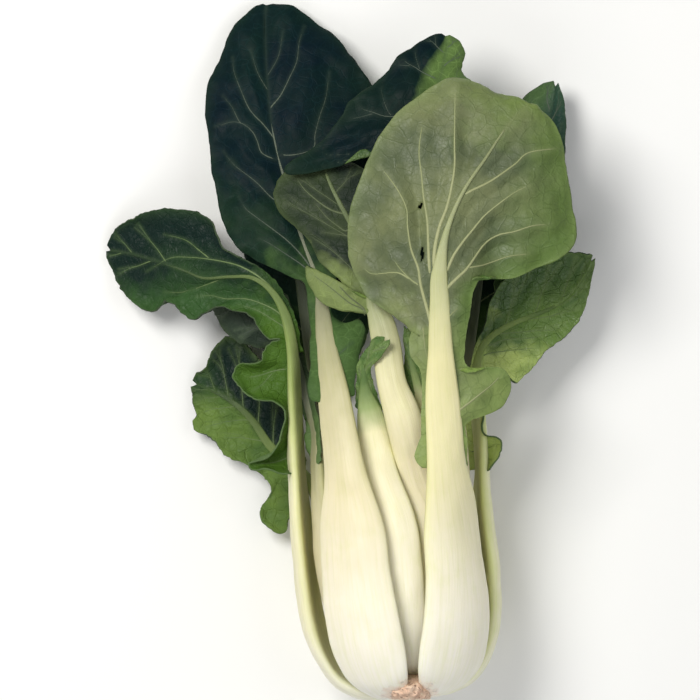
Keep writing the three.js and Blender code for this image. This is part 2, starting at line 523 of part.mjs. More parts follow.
        [6.96, 51, -51.5, 27.5], [7.2, 49.6, -45, 28.5], [7.6, 48.8, -37, 30.5], [7.9, 49.5, -31.5, 32],
        [8.3, 51.4, -25, 33.5], [8.8, 51, -17, 35], [9.3, 51.4, -8.5, 36], [9.8, 52.6, -3, 36.5],
        [10.2, 54.2, 2.5, 36.5], [10.8, 57, 9, 36], [11.3, 60, 18, 35], [12, 64, 27, 33.5],
        [12.7, 72, 35, 31.5], [13.4, 81, 40, 29.5], [14.2, 90, 42.3, 27.5], [15, 97, 42.6, 26],
        [16, 102, 42, 24.8], [17, 104.8, 41, 24.2],
      ],
    },
  },
  // inner leaf on the right, only its dark tip in sight
  rightInner: {
    colour: 'darkBlade', stalkEnd: 13,
    spine: [
      ...ringRows(innerRing, 322),
      ...freeRows([
        [46.5, -50, 18, 13, 4.4, 312], [53, -25, 18, 9, 4, 290], [61.5, -5, 19, 6.4, 3.4, 275],
        [68, 18, 19.5, 4, 2.6, 270], [74, 42, 19.5, 3, 2.2, 270], [79, 64, 19, 2.2, 1.9, 270],
        [83, 84, 18, 1.7, 1.5, 270], [86.5, 101, 16.5, 1, 1, 270], [89, 114, 15, 1, 1, 270],
      ]),
    ],
    blade: {
      left: [
        [9.3, 68, 2, 19.5], [10, 77, 16, 19], [11, 87, 38, 18], [12, 92.4, 60, 17.5],
        [13, 92.8, 82, 17], [13.6, 93.6, 95, 16.5], [14.2, 93, 106, 15.5], [14.7, 91, 113, 15],
        [15, 90.2, 115.8, 14.5],
      ],
      right: [
        [9.3, 60, 5, 19.5], [10, 62.4, 22, 20.5], [10.5, 62, 34, 20.5], [11, 62, 45, 20.5],
        [12, 64, 70, 20], [13, 68, 92, 18.5], [14, 74, 107.6, 17], [14.4, 80, 113.2, 16],
        [14.7, 84.5, 115.6, 15.3], [15, 88.2, 116.6, 14.8],
      ],
    },
  },
  // leaf under the left half, lying on the table
  backLeft: {
    colour: 'darkBlade', stalkEnd: 12,
    spine: [
      ...ringRows(outerRing, 242),
      ...freeRows([
        [-3.6, -50, 8.5, 17.5, 5.2, 246], [-10, -22, 8.5, 12.5, 4.4, 258], [-16, 4, 7.5, 9, 4, 268],
        [-20, 28, 6.2, 7, 3.4, 270], [-23, 50, 4.8, 5, 2.8, 270], [-26, 68, 3.4, 3, 2, 270],
        [-29, 82, 2, 1, 1, 270], [-31, 92, 1, 1, 1, 270],
      ]),
    ],
    blade: {
      cells: 2,
      left: [
        [8, -2.4, -19, 8.5], [8.5, 3, -5, 7], [9, 8, 8, 6], [10, 14, 32, 4.5], [11, 13, 55, 3],
        [12, 2, 76, 1.5], [13, -12, 89, 0.5], [14, -26, 96, 0.5],
      ],
      right: [
        [8, -21, -24, 8], [8.6, -32, -8, 5.5], [9.2, -39, 10, 3.5], [10, -44, 30, 2.2],
        [11, -47, 52, 1.2], [12, -47, 72, 0.5], [13, -42, 88, 0.5], [14, -35, 96.5, 0.5],
      ],
    },
  },
  // leaf under the right half, lying on the table
  backRight: {
    colour: 'darkBlade', stalkEnd: 12,
    spine: [
      ...ringRows(outerRing, 292),
      ...freeRows([
        [37.5, -50, 7, 18, 5.2, 288], [44, -22, 8, 12.5, 4.4, 278], [50, 4, 7.5, 9, 4, 272],
        [54, 28, 6.5, 7, 3.4, 270], [57, 52, 5, 5, 2.8, 270], [58, 72, 3.6, 3, 2, 270],
        [57, 88, 2, 1, 1, 270], [56, 98, 1, 1, 1, 270],
      ]),
    ],
    blade: {
      cells: 2,
      left: [
        [8, 53, -22, 8], [8.4, 60, -9, 6.5], [9, 68, 5, 5.5], [10, 80, 25, 4], [11, 86, 48, 2.5],
        [12, 84, 70, 1.2], [13, 74, 90, 0.5], [14, 60, 101, 0.5],
      ],
      right: [
        [8, 36, -20, 8.5], [9, 34, 6, 6.5], [10, 30, 30, 5], [11, 30, 52, 3.5], [12, 34, 74, 1.8],
        [13, 42, 92, 0.6], [14, 52, 101.5, 0.5],
      ],
    },
  },
};

function meshOf(solid, name, colour, roughness) {
  const data = solid.getMesh();
  const geometry = new THREE.BufferGeometry();
  const corners = new Float32Array(data.numVert * 3);
  for (let i = 0; i < data.numVert; i += 1) {
    for (let k = 0; k < 3; k += 1) corners[3 * i + k] = data.vertProperties[data.numProp * i + k];
  }
  geometry.setAttribute('position', new THREE.BufferAttribute(corners, 3));
  geometry.setIndex(Array.from(data.triVerts));
  geometry.computeVertexNormals();
  const mesh = new THREE.Mesh(geometry, new THREE.MeshStandardMaterial({ color: colour, roughness }));
  mesh.name = name;
  return mesh;
}

const head = new THREE.Group();
head.name = 'bok_choy';
head.add(meshOf(rootSolid(), 'root_core', colours.root, 0.8));
for (const [name, leaf] of Object.entries(leaves)) {
  const plain = name.replace(/[A-Z]/g, (letter) => `_${letter.toLowerCase()}`);
  head.add(meshOf(stalkSolid(leaf), `${plain}_stalk`, colours.stalk, 0.45));
  head.add(meshOf(bladeSolid(leaf), `${plain}_blade`, colours[leaf.colour], 0.5));
}

export default head;
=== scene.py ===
# A head of bok choy on its side: ribbed stalks, veined and waved blades, and the cut root
import math

import bmesh
import bpy
import numpy as np
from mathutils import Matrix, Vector, kdtree, noise


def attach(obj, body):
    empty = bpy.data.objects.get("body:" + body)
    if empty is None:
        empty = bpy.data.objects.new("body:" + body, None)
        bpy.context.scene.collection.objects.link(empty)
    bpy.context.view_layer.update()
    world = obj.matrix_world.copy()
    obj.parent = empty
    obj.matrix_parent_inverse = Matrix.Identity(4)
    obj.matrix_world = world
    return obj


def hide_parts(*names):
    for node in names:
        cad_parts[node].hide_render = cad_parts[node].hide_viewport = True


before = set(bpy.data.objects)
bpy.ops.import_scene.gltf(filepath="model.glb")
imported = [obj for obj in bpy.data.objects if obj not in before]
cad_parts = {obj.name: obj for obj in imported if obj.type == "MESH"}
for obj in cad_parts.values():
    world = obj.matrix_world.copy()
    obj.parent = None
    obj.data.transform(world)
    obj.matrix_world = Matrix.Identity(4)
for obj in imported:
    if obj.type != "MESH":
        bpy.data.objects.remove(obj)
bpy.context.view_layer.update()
mm = 0.001

# Camera straight above, plain pale floor, soft light from the upper left
studio = {
    "cameraHeight": 3.5, "framedWidth": 0.301, "focus": 0.04, "floorSize": 4.0,
    "floorTone": (0.92, 0.92, 0.91), "skyTone": (1.0, 1.0, 1.0), "skyStrength": 0.26,
    "lights": [  # name, place, size, power, colour
        ("key", (-0.45, 0.4, 1.0), 0.5, 10.5, (1.0, 0.985, 0.95)),
        ("fill", (0.8, 0.1, 1.1), 0.9, 3.2, (0.96, 0.98, 1.0)),
        ("front", (-0.1, -0.8, 0.9), 0.8, 3.0, (1.0, 1.0, 1.0)),
    ],
}


def setStudio():
    lens = bpy.data.cameras.new("camera")
    lens.sensor_width = 36
    lens.lens = 36 * (studio["cameraHeight"] - studio["focus"]) / studio["framedWidth"]
    lens.clip_end = 20
    camera = bpy.data.objects.new("camera", lens)
    camera.location = (0, 0, studio["cameraHeight"])
    bpy.context.collection.objects.link(camera)
    bpy.context.scene.camera = camera
    for name, place, size, power, colour in studio["lights"]:
        lamp = bpy.data.lights.new(name, "AREA")
        lamp.size, lamp.energy, lamp.color = size, power, colour
        holder = bpy.data.objects.new(name, lamp)
        holder.location = place
        holder.rotation_euler = (Vector((0, 0, 0.03)) - Vector(place)).to_track_quat("-Z", "Y").to_euler()
        bpy.context.collection.objects.link(holder)
    world = bpy.data.worlds.new("sky")
    world.use_nodes = True
    sky = world.node_tree.nodes["Background"]
    sky.inputs["Color"].default_value = (*studio["skyTone"], 1)
    sky.inputs["Strength"].default_value = studio["skyStrength"]
    bpy.context.scene.world = world
    bpy.context.scene.view_settings.view_transform = "Standard"


class Wire:
    # a socket that takes part in sums, each of which adds its Math node
    def __init__(self, finish, socket):
        self.finish, self.socket = finish, socket

    def math(self, operation, a, b):
        made = self.finish.node("Math", {"operation": operation}, {0: a, 1: b})
        return Wire(self.finish, made.outputs[0])

    def __add__(self, other):
        return self.math("ADD", self, other)

    def __radd__(self, other):
        return self.math("ADD", other, self)

    def __sub__(self, other):
        return self.math("SUBTRACT", self, other)

    def __rsub__(self, other):
        return self.math("SUBTRACT", other, self)

    def __mul__(self, other):
        return self.math("MULTIPLY", self, other)

    def __rmul__(self, other):
        return self.math("MULTIPLY", other, self)

    def __pow__(self, other):
        return self.math("POWER", self, other)


class Finish:
    # one material, and the nodes that the leaves' materials are made of
    def __init__(self, name, **fixed):
        self.material = bpy.data.materials.new(name)
        self.material.use_nodes = True
        self.shader = self.material.node_tree.nodes["Principled BSDF"]
        for label, value in fixed.items():
            self.shader.inputs[label].default_value = value
        self.place = self.node("TexCoord").outputs["Object"]

    def node(self, kind, settings=None, sockets=None):
        made = self.material.node_tree.nodes.new("ShaderNode" + kind)
        for key, value in (settings or {}).items():
            if key == "stops":
                stops = made.color_ramp.elements
                while len(stops) < len(value):
                    stops.new(1)
                for stop, (at, tone) in zip(stops, value):
                    stop.position, stop.color = at, (*tone, 1)
            else:
                setattr(made, key, value)
        for key, value in (sockets or {}).items():
            self.join(value, made.inputs[key])
        return made

    def join(self, value, socket):
        if isinstance(value, Wire):
            value = value.socket
        if isinstance(value, bpy.types.NodeSocket):
            self.material.node_tree.links.new(value, socket)
        elif isinstance(value, tuple) and len(value) == 3 and socket.type == "RGBA":
            socket.default_value = (*value, 1)
        else:
            socket.default_value = value

    def mark(self, name):  # a value kept on the mesh's points
        return Wire(self, self.node("Attribute", {"attribute_name": name}).outputs["Fac"])

    def cloud(self, size, detail=3, place=None, rough=0.55):  # noise with features of about size mm
        made = self.node("TexNoise", None, {"Vector": place or self.place, "Scale": 1 / (size * mm),
                                            "Detail": detail, "Roughness": rough})
        return Wire(self, made.outputs["Fac"])

    def between(self, value, low, high, fromLow=0.0, fromHigh=1.0):
        made = self.node("MapRange", None, {0: value, 1: fromLow, 2: fromHigh, 3: low, 4: high})
        return Wire(self, made.outputs["Result"])

    def net(self, size, line, place=None):  # 1 on the lines of a net with meshes of about size mm
        made = self.node("TexVoronoi", {"feature": "DISTANCE_TO_EDGE"},
                         {"Vector": place or self.place, "Scale": 1 / (size * mm)})
        return self.between(made.outputs["Distance"], 1.0, 0.0, 0.0, line)

    def mix(self, share, a, b, how="MIX"):  # colours
        made = self.node("Mix", {"data_type": "RGBA", "blend_type": how, "clamp_factor": True},
                         {0: share, 6: a, 7: b})
        return made.outputs[2]

    def tint(self, share, colour, tone):  # makes the colour darker or lighter by the tone
        return self.mix(share, colour, tone, "MULTIPLY")

    def run(self, value, stops):
        return self.node("ValToRGB", {"stops": stops}, {0: value}).outputs["Color"]

    def shift(self, size, amount):  # the place, pushed about by noise
        made = self.node("TexNoise", None, {"Vector": self.place, "Scale": 1 / (size * mm), "Detail": 2.0})
        moved = self.node("VectorMath", {"operation": "MULTIPLY_ADD"},
                          {0: made.outputs["Color"], 1: (amount * mm,) * 3, 2: self.place})
        return moved.outputs[0]

    def end(self, colour, roughness, height, depth):
        self.join(colour, self.shader.inputs["Base Color"])
        self.join(roughness, self.shader.inputs["Roughness"])
        bump = self.node("Bump", None, {"Height": height, "Distance": depth * mm, "Strength": 1.0})
        self.join(bump.outputs["Normal"], self.shader.inputs["Normal"])
        return self.material


# What the green faces have unless they say otherwise
plainLook = {"shine": 0.2, "mesh": 5.2, "zones": [], "veinShare": 0.5, "fleck": (0.72, 0.76, 0.7)}


def bladeFinish(name, look):
    # zones: a mark on the mesh, where the tone begins and where it is full, and the tone
    look = {**plainLook, **look}
    made = Finish(name, **{"Specular IOR Level": look["shine"]})
    warped = made.shift(6, 3.0)
    coarse, fine = made.net(look["mesh"], 0.07, warped), made.net(1.7, 0.11, warped)
    broad, spots, patches = made.cloud(24), made.cloud(2.6, 4), made.cloud(13, 2)
    vein, edge = made.mark("vein"), made.mark("edge")
    colour = made.mix(made.between(broad, 0.0, 1.0, 0.36, 0.64), look["main"], look["second"])
    for mark, begin, full, tone in look["zones"]:
        wander = made.mark(mark) + (patches - 0.5) * 0.35
        colour = made.mix(made.between(wander, 0.0, 1.0, begin, full), colour, tone)
    seen = made.between(patches, 0.35, 1.0, 0.35, 0.6)
    colour = made.tint(coarse * seen * look["netShare"], colour, look["net"])
    colour = made.tint(fine * (look["netShare"] * 0.45), colour, look["net"])
    colour = made.tint(made.between(spots, 0.0, 0.55, 0.52, 0.74), colour, look["fleck"])
    colour = made.mix(vein * vein * look["veinShare"], colour, look["vein"])
    colour = made.mix(edge ** 12.0 * 0.4, colour, look["edge"])
    rough = made.between(made.cloud(7), look["rough"] - 0.07, look["rough"] + 0.1, 0.3, 0.7)
    height = spots * 0.5 - coarse * look["sink"] - fine * (0.4 * look["sink"]) + made.cloud(0.8, 2) * 0.1
    return made.end(colour, rough, height, look["relief"])


# Pinkish brown skin where the feet of the stalks meet the cut root, in metres
scar = {
    "squeeze": (0.62, 1.0, 0.45), "middle": (0.0158, -0.1485, 0.027), "full": 0.0035, "gone": 0.0085,
    "skin": (0.8, 0.58, 0.43), "speck": (0.2, 0.1, 0.07), "share": 0.85,
}


def addScar(made, colour):
    squeezed = made.node("VectorMath", {"operation": "MULTIPLY"}, {0: made.place, 1: scar["squeeze"]})
    away = made.node("VectorMath", {"operation": "DISTANCE"}, {0: squeezed.outputs[0], 1: scar["middle"]})
    away = Wire(made, away.outputs["Value"]) + (made.cloud(5) - 0.5) * 0.012
    specks = made.between(made.cloud(1.5, 4), 0.0, 0.9, 0.54, 0.62)
    skin = made.mix(specks, scar["skin"], scar["speck"])
    return made.mix(made.between(away, scar["share"], 0.0, scar["full"], scar["gone"]), colour, skin)


def stalkFinish(name, look):
    # run: the colour from the foot to the end of the midrib; fibres run along the stalk
    made = Finish(name, **{"Subsurface Weight": 0.1, "Subsurface Scale": 0.004,
                           "Subsurface Radius": (1.0, 0.9, 0.5), "Specular IOR Level": 0.3})
    along, across, face = made.mark("along"), made.mark("across"), made.mark("face")
    thread = made.node("CombineXYZ", None, {0: across * 0.022, 1: along * 0.02, 2: face * 0.004})
    fibres, bands = made.cloud(1.1, 3, thread.outputs[0]), made.cloud(4.2, 2, thread.outputs[0])
    colour = made.run(along + (made.cloud(14) - 0.5) * 0.08, look["run"])
    rim = made.between(across * across, 0.0, 0.5, 0.6, 1.0)
    colour = made.tint(rim * made.between(along, 0.3, 1.0, 0.08, 0.4), colour, look["rim"])
    # painted shade: the hollow inner face of the stalk is darkened by the inner tone
    colour = made.tint(made.between(face, 0.5, 0.0, -0.6, 0.2), colour, look["inner"])
    colour = made.tint(made.between(fibres, 0.0, 0.35, 0.45, 0.72), colour, look["rim"])
    colour = made.tint(made.between(bands, 0.0, 0.3, 0.48, 0.7), colour, look["inner"])
    colour = made.tint(made.between(made.cloud(9, 4), 0.0, 0.25, 0.55, 0.75), colour, look["rim"])
    colour = addScar(made, colour)
    rough = made.between(made.cloud(5), 0.36, 0.52, 0.3, 0.7)
    height = fibres * 0.8 + made.cloud(1.6, 3) * 0.25 + made.cloud(0.5, 2) * 0.08
    return made.end(colour, rough, height, 0.16)


def veinFinish(name, pale, green):
    made = Finish(name, **{"Specular IOR Level": 0.2})
    thin = made.mark("thin")
    colour = made.mix(thin * made.between(made.cloud(6), 0.75, 1.0, 0.3, 0.7), pale, green)
    colour = made.mix(made.between(made.cloud(1.8), 0.0, 0.35, 0.5, 0.75), colour, green)
    rough = made.between(made.cloud(4), 0.4, 0.58, 0.3, 0.7)
    return made.end(colour, rough, made.cloud(0.6, 2), 0.06)


# What a user would change first: the colours of every skin, as linear red, green and blue
# rim: the green toward a stalk's edges; inner: painted shade on a stalk's hollow inner face
stalkTints = {"rim": (0.86, 0.92, 0.66), "inner": (0.86, 0.88, 0.74)}
sideTints = {"rim": (0.86, 0.93, 0.62), "inner": (0.66, 0.72, 0.42)}
finishes = {
    "whiteStalk": stalkFinish("whiteStalkSkin", {**stalkTints, "run": [
        (0, (0.97, 0.95, 0.88)), (0.2, (0.94, 0.89, 0.74)), (0.42, (0.86, 0.78, 0.54)),
        (0.6, (0.7, 0.66, 0.4)), (0.75, (0.3, 0.34, 0.17)), (0.9, (0.14, 0.18, 0.08))]}),
    "heartStalk": stalkFinish("heartStalkSkin", {**stalkTints, "run": [
        (0, (0.97, 0.95, 0.88)), (0.3, (0.94, 0.89, 0.73)), (0.65, (0.86, 0.8, 0.56)),
        (0.8, (0.8, 0.75, 0.48)), (0.88, (0.3, 0.38, 0.15)), (0.96, (0.1, 0.17, 0.05))]}),
    "frontStalk": stalkFinish("frontStalkSkin", {**stalkTints, "run": [
        (0, (0.98, 0.96, 0.89)), (0.2, (0.95, 0.9, 0.74)), (0.4, (0.85, 0.79, 0.49)),
        (0.6, (0.76, 0.71, 0.4)), (0.7, (0.56, 0.56, 0.31)), (0.8, (0.38, 0.41, 0.22)),
        (0.97, (0.25, 0.28, 0.14))]}),
    # the run turns dark and greyish from midway: partly the midrib's own green, partly painted shade where
    # these stalks lie in shade
    "darkStalk": stalkFinish("darkStalkSkin", {**stalkTints, "run": [
        (0, (0.97, 0.95, 0.88)), (0.18, (0.93, 0.87, 0.7)), (0.34, (0.8, 0.72, 0.48)),
        (0.5, (0.5, 0.47, 0.27)), (0.6, (0.28, 0.28, 0.17)), (0.74, (0.16, 0.185, 0.13)),
        (0.95, (0.075, 0.1, 0.075))]}),
    "sideStalk": stalkFinish("sideStalkSkin", {**sideTints, "run": [
        (0, (0.96, 0.94, 0.82)), (0.22, (0.88, 0.83, 0.6)), (0.42, (0.87, 0.81, 0.58)),
        (0.52, (0.72, 0.72, 0.42)), (0.6, (0.42, 0.48, 0.2)), (0.72, (0.22, 0.29, 0.11)),
        (0.95, (0.06, 0.1, 0.04))]}),
    "ovalStalk": stalkFinish("ovalStalkSkin", {"rim": (0.82, 0.93, 0.5), "inner": (0.78, 0.84, 0.5), "run": [
        (0, (0.96, 0.94, 0.82)), (0.25, (0.88, 0.85, 0.6)), (0.6, (0.85, 0.83, 0.55)),
        (0.7, (0.62, 0.66, 0.35)), (0.8, (0.3, 0.38, 0.14)), (0.95, (0.1, 0.16, 0.05))]}),
    "oliveBack": bladeFinish("oliveBack", {
        "main": (0.088, 0.112, 0.054), "second": (0.165, 0.188, 0.082), "net": (0.4, 0.55, 0.4),
        "netShare": 0.2,
        # the first zone darkens the right half: partly the blade's own tone, partly painted shade on the side
        # turned from the light
        "zones": [("across", 0.3, 0.95, (0.085, 0.15, 0.026)), ("along", 0.7, 0.95, (0.15, 0.21, 0.055)),
                  ("along", 0.3, 0.0, (0.26, 0.34, 0.1))],
        "vein": (0.22, 0.25, 0.115), "veinShare": 0.25, "edge": (0.22, 0.29, 0.1), "rough": 0.46,
        "sink": -0.5, "relief": 0.22, "mesh": 6.5, "shine": 0.3,
    }),
    "freshFace": bladeFinish("freshFace", {
        "main": (0.05, 0.11, 0.026), "second": (0.1, 0.19, 0.045), "net": (1.7, 1.5, 1.7),
        "netShare": 0.25,
        "zones": [("along", 0.35, 0.05, (0.26, 0.36, 0.08)), ("across", -0.2, -0.7, (0.022, 0.06, 0.018))],
        "vein": (0.2, 0.28, 0.1), "edge": (0.14, 0.22, 0.06), "rough": 0.42, "sink": 0.9,
        "relief": 0.24, "shine": 0.16,
    }),
    "ovalFace": bladeFinish("ovalFace", {
        "main": (0.06, 0.125, 0.025), "second": (0.11, 0.19, 0.038), "net": (0.7, 0.8, 0.7),
        "netShare": 0.3,
        # the pale zone near the stalk (along) is the wing's own paler green, lifted further as painted light
        # where the front leaf shades it
        "zones": [("across", 0.1, 0.8, (0.05, 0.105, 0.026)), ("along", 0.42, 0.3, (0.4, 0.5, 0.14))],
        "vein": (0.24, 0.32, 0.1), "veinShare": 0.25, "edge": (0.18, 0.27, 0.07), "rough": 0.36,
        "sink": 0.9, "relief": 0.24, "shine": 0.35,
    }),
    "turnedFace": bladeFinish("turnedFace", {
        "main": (0.008, 0.026, 0.011), "second": (0.024, 0.06, 0.018), "net": (1.7, 1.5, 1.7),
        "netShare": 0.3,
        # painted shade: the zone toward the tip (along 0.6 to 0.8) and the left half (across below -0.1)
        # stand for the shade behind a crease that the sheet does not have
        "zones": [("across", 0.15, 0.7, (0.03, 0.08, 0.02)), ("along", 0.6, 0.8, (0.004, 0.016, 0.011)),
                  ("across", -0.1, -0.6, (0.004, 0.016, 0.012)), ("along", 0.42, 0.2, (0.06, 0.13, 0.016))],
        "vein": (0.1, 0.16, 0.06), "veinShare": 0.25, "edge": (0.05, 0.1, 0.03), "rough": 0.42,
        "sink": 0.9, "relief": 0.24, "shine": 0.13,
    }),
    "foldedFace": bladeFinish("foldedFace", {
        "main": (0.13, 0.21, 0.042), "second": (0.05, 0.105, 0.025), "net": (1.5, 1.4, 1.5),
        "netShare": 0.3,
        "zones": [("across", 0.15, -0.15, (0.005, 0.016, 0.012)), ("along", 0.7, 0.95, (0.02, 0.05, 0.018))],
        "vein": (0.18, 0.26, 0.08), "veinShare": 0.15, "edge": (0.14, 0.22, 0.06), "rough": 0.44,
        "sink": 0.9, "relief": 0.24, "shine": 0.13,
    }),
    # painted shade: near black with a blue cast, the dark leaf's own deep green made darker for the shade it
    # lies in; the two leaves under the head show this face, dark in the shaded gaps between the stalks
    "deepShadedFace": bladeFinish("deepShadedFace", {
        "main": (0.002, 0.009, 0.014), "second": (0.004, 0.016, 0.014), "net": (1.9, 1.8, 1.9),
        "netShare": 0.4,
        "zones": [("along", 0.45, 0.25, (0.011, 0.03, 0.013)), ("along", 0.28, 0.14, (0.06, 0.115, 0.032))],
        "vein": (0.035, 0.055, 0.038), "veinShare": 0.35, "edge": (0.02, 0.04, 0.022), "rough": 0.45,
        "sink": 0.7, "relief": 0.08, "shine": 0.05,
    }),
    "tipFace": bladeFinish("tipFace", {
        "main": (0.012, 0.04, 0.03), "second": (0.022, 0.06, 0.035), "net": (1.9, 1.8, 1.9),
        "netShare": 0.4, "zones": [("across", 0.0, 0.6, (0.07, 0.13, 0.045))],
        "vein": (0.06, 0.1, 0.05), "veinShare": 0.35, "edge": (0.05, 0.09, 0.04), "rough": 0.42,
        "sink": 0.7, "relief": 0.13, "shine": 0.12,
    }),
    # painted shade: near black, the crest leaf's own deep green made darker for the shade it lies in
    "crestShadedFace": bladeFinish("crestShadedFace", {
        "main": (0.002, 0.009, 0.012), "second": (0.004, 0.015, 0.012), "net": (1.9, 1.8, 1.9),
        "netShare": 0.4, "zones": [("across", -0.28, -0.1, (0.1, 0.17, 0.046))],
        "vein": (0.035, 0.055, 0.038), "veinShare": 0.3, "edge": (0.03, 0.055, 0.028), "rough": 0.45,
        "sink": 0.7, "relief": 0.09, "shine": 0.05,
    }),
    "paleBack": bladeFinish("paleBack", {
        "main": (0.017, 0.03, 0.02), "second": (0.03, 0.048, 0.028), "net": (1.6, 1.5, 1.6),
        "netShare": 0.25, "zones": [("along", 0.35, 0.1, (0.1, 0.17, 0.055))],
        "vein": (0.1, 0.14, 0.08), "edge": (0.08, 0.12, 0.05), "rough": 0.55, "sink": -0.6,
        "relief": 0.22,
    }),
    "youngBack": bladeFinish("youngBack", {
        "main": (0.012, 0.022, 0.014), "second": (0.036, 0.054, 0.022), "net": (1.6, 1.6, 1.4),
        "netShare": 0.3,
        "zones": [("along", 0.22, 0.12, (0.18, 0.23, 0.08)), ("across", 0.0, 0.5, (0.014, 0.024, 0.016))],
        "vein": (0.12, 0.15, 0.07), "veinShare": 0.2, "edge": (0.1, 0.14, 0.05), "rough": 0.48,
        "sink": -0.6, "relief": 0.2, "shine": 0.12,
    }),
    "youngFace": bladeFinish("youngFace", {
        "main": (0.05, 0.11, 0.03), "second": (0.1, 0.18, 0.045), "net": (1.6, 1.5, 1.5),
        "netShare": 0.3, "vein": (0.22, 0.3, 0.1), "edge": (0.15, 0.24, 0.07), "rough": 0.42,
        "sink": 0.9, "relief": 0.22, "mesh": 3.0,
    }),
    "creamVein": veinFinish("creamVein", (0.4, 0.41, 0.22), (0.21, 0.25, 0.11)),
    "greenVein": veinFinish("greenVein", (0.24, 0.31, 0.13), (0.055, 0.1, 0.035)),
    "dimVein": veinFinish("dimVein", (0.17, 0.2, 0.1), (0.06, 0.085, 0.04)),
    "paleVein": veinFinish("paleVein", (0.13, 0.155, 0.11), (0.03, 0.05, 0.036)),
}
print("finishes made:", len(finishes))

# Where a stalk of each ring runs inside the bulb: away from the bulb's axis, y, width, thickness
outerRing = [
    [8.2, -147, 6.2, 5.2], [19, -146.2, 15.5, 5.6], [29, -140.6, 22, 6], [36, -129.5, 27, 6.5],
    [40, -114, 29, 7], [41.2, -96, 30, 7], [41, -76, 28, 6.6],
]
innerRing = [
    [5, -138.6, 4, 4], [13, -137.6, 10, 4.5], [21, -132, 15, 5], [27, -121, 18, 5],
    [31, -106, 20, 5.4], [33, -90, 20, 5.4], [33, -74, 18, 5.2],
]
middleRing = [
    [5, -137, 2.2, 2.8], [11, -135.4, 5, 3.4], [18, -130.4, 10, 4.6], [23, -120, 15, 5.2],
    [26.5, -104, 17, 5.2], [28, -88, 17, 5.2], [28, -72, 16, 5.2],
]
heartRing = [
    [2.8, -133.6, 2.4, 3.4], [8, -131.6, 7, 4], [13, -125, 11, 4.5], [17, -115, 14, 5],
    [20, -100, 17, 5], [21, -82, 18, 5], [21, -66, 17, 5],
]
bulb = {"axisHeight": 38.4, "axisX": 20.6, "axisLean": -0.09, "flattening": 0.9, "rootTilt": 0.08, "bend": 40}
footShare = (0.2, 0.4, 1, 0.7, 0.2, 0, 0)  # how much of a foot's extra width each row of a ring takes
marginLead = 0.12  # how far along the spine a margin takes to leave the stalk
lowest = {"stalk": 0.02, "vein": 0.03, "blade": 0.4}  # nothing dips under the table


def unit(vectors):
    return vectors / np.maximum(np.linalg.norm(vectors, axis=-1, keepdims=True), 1e-9)


def smooth(rows, u):  # a curve through rows, one row for each whole u
    rows = np.asarray(rows, float)
    i = np.clip(np.floor(u).astype(int), 0, len(rows) - 2)
    t = (u - i)[:, None]
    wide = np.vstack([2 * rows[0] - rows[1], rows, 2 * rows[-1] - rows[-2]])
    a, b, c, d = (wide[i + k] for k in range(4))
    return b + t / 2 * (c - a + t * (2 * a - 5 * b + 4 * c - d + t * (3 * (b - c) + d - a)))


def ringRows(ring, angle, spread=1, foot=1):  # stalk inside the bulb: x, y, z, width, thickness, outer face
    cos, sin = math.cos(math.radians(angle)), math.sin(math.radians(angle))
    rows = []
    for i, (reach, y, width, thick) in enumerate(ring):
        before, after = ring[max(i - 1, 0)], ring[min(i + 1, len(ring) - 1)]
        broad = spread if reach < ring[-1][0] else (1 + spread) / 2
        broad *= 1 + (foot - 1) * footShare[i]
        slope = math.atan2(after[0] - before[0], after[1] - before[1])
        lift = bulb["rootTilt"] * reach * cos * max(0, (-100 - y) / 50)
        rows.append([bulb["axisX"] + bulb["axisLean"] * (y + 100) + reach * cos, y + lift,
                     bulb["axisHeight"] + bulb["flattening"] * reach * sin, width * broad, thick,
                     cos * math.cos(slope), -math.sin(slope), sin * math.cos(slope)])
    return rows


def freeRows(rows):  # stalk outside the bulb: x, y, z, width, thickness, outer face in degrees
    made = []
    for x, y, z, width, thick, *face in rows:
        turned = math.radians(face[0] if face else 90)
        made.append([x, y, z, width, thick, math.cos(turned), 0, math.sin(turned)])
    return made


def spineAt(leaf, u):
    row, ahead, behind = (smooth(leaf["spine"], u + k) for k in (0, 0.02, -0.02))
    along = unit(ahead[:, :3] - behind[:, :3])
    side = unit(np.cross(row[:, 5:8], along))
    return {"centre": row[:, :3], "width": row[:, 3:4], "thick": row[:, 4:5], "along": along,
            "side": side, "out": np.cross(along, side)}


def marginAt(margin, u, spine, turn):  # before its first row a margin leaves the inside of the stalk
    margin = np.asarray(margin, float)
    there = smooth(margin[:, 1:], np.interp(u, margin[:, 0], np.arange(len(margin))))
    inside = spine["centre"] + spine["side"] * turn * spine["width"] / 4
    share = np.clip((u - margin[0, 0]) / marginLead + 1, 0, 1)[:, None]
    return inside + (there - inside) * share


def lengthAlong(points):
    return np.concatenate([[0], np.cumsum(np.linalg.norm(np.diff(points, axis=0), axis=1))])


def noiseAt(points, size, seed=0.0, octaves=2):
    push = Vector((seed * 3.1, seed * 1.7, seed * 0.9))
    flat = points.reshape(-1, 3) / size
    values = [noise.fractal(Vector(p) + push, 0.8, 2.0, octaves) for p in flat]
    return np.array(values).reshape(points.shape[:-1])


def sheetNormals(points):
    return unit(np.cross(np.gradient(points, axis=1), np.gradient(points, axis=0)))


def finishMesh(name, bm, materials, replaced=()):
    mesh = bpy.data.meshes.new(name)
    bm.to_mesh(mesh)
    bm.free()
    mesh.shade_smooth()
    piece = bpy.data.objects.new(name, mesh)
    bpy.context.collection.objects.link(piece)
    for material in materials:
        mesh.materials.append(material)
    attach(piece, "root")
    if replaced:
        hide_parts(*replaced)
    return piece


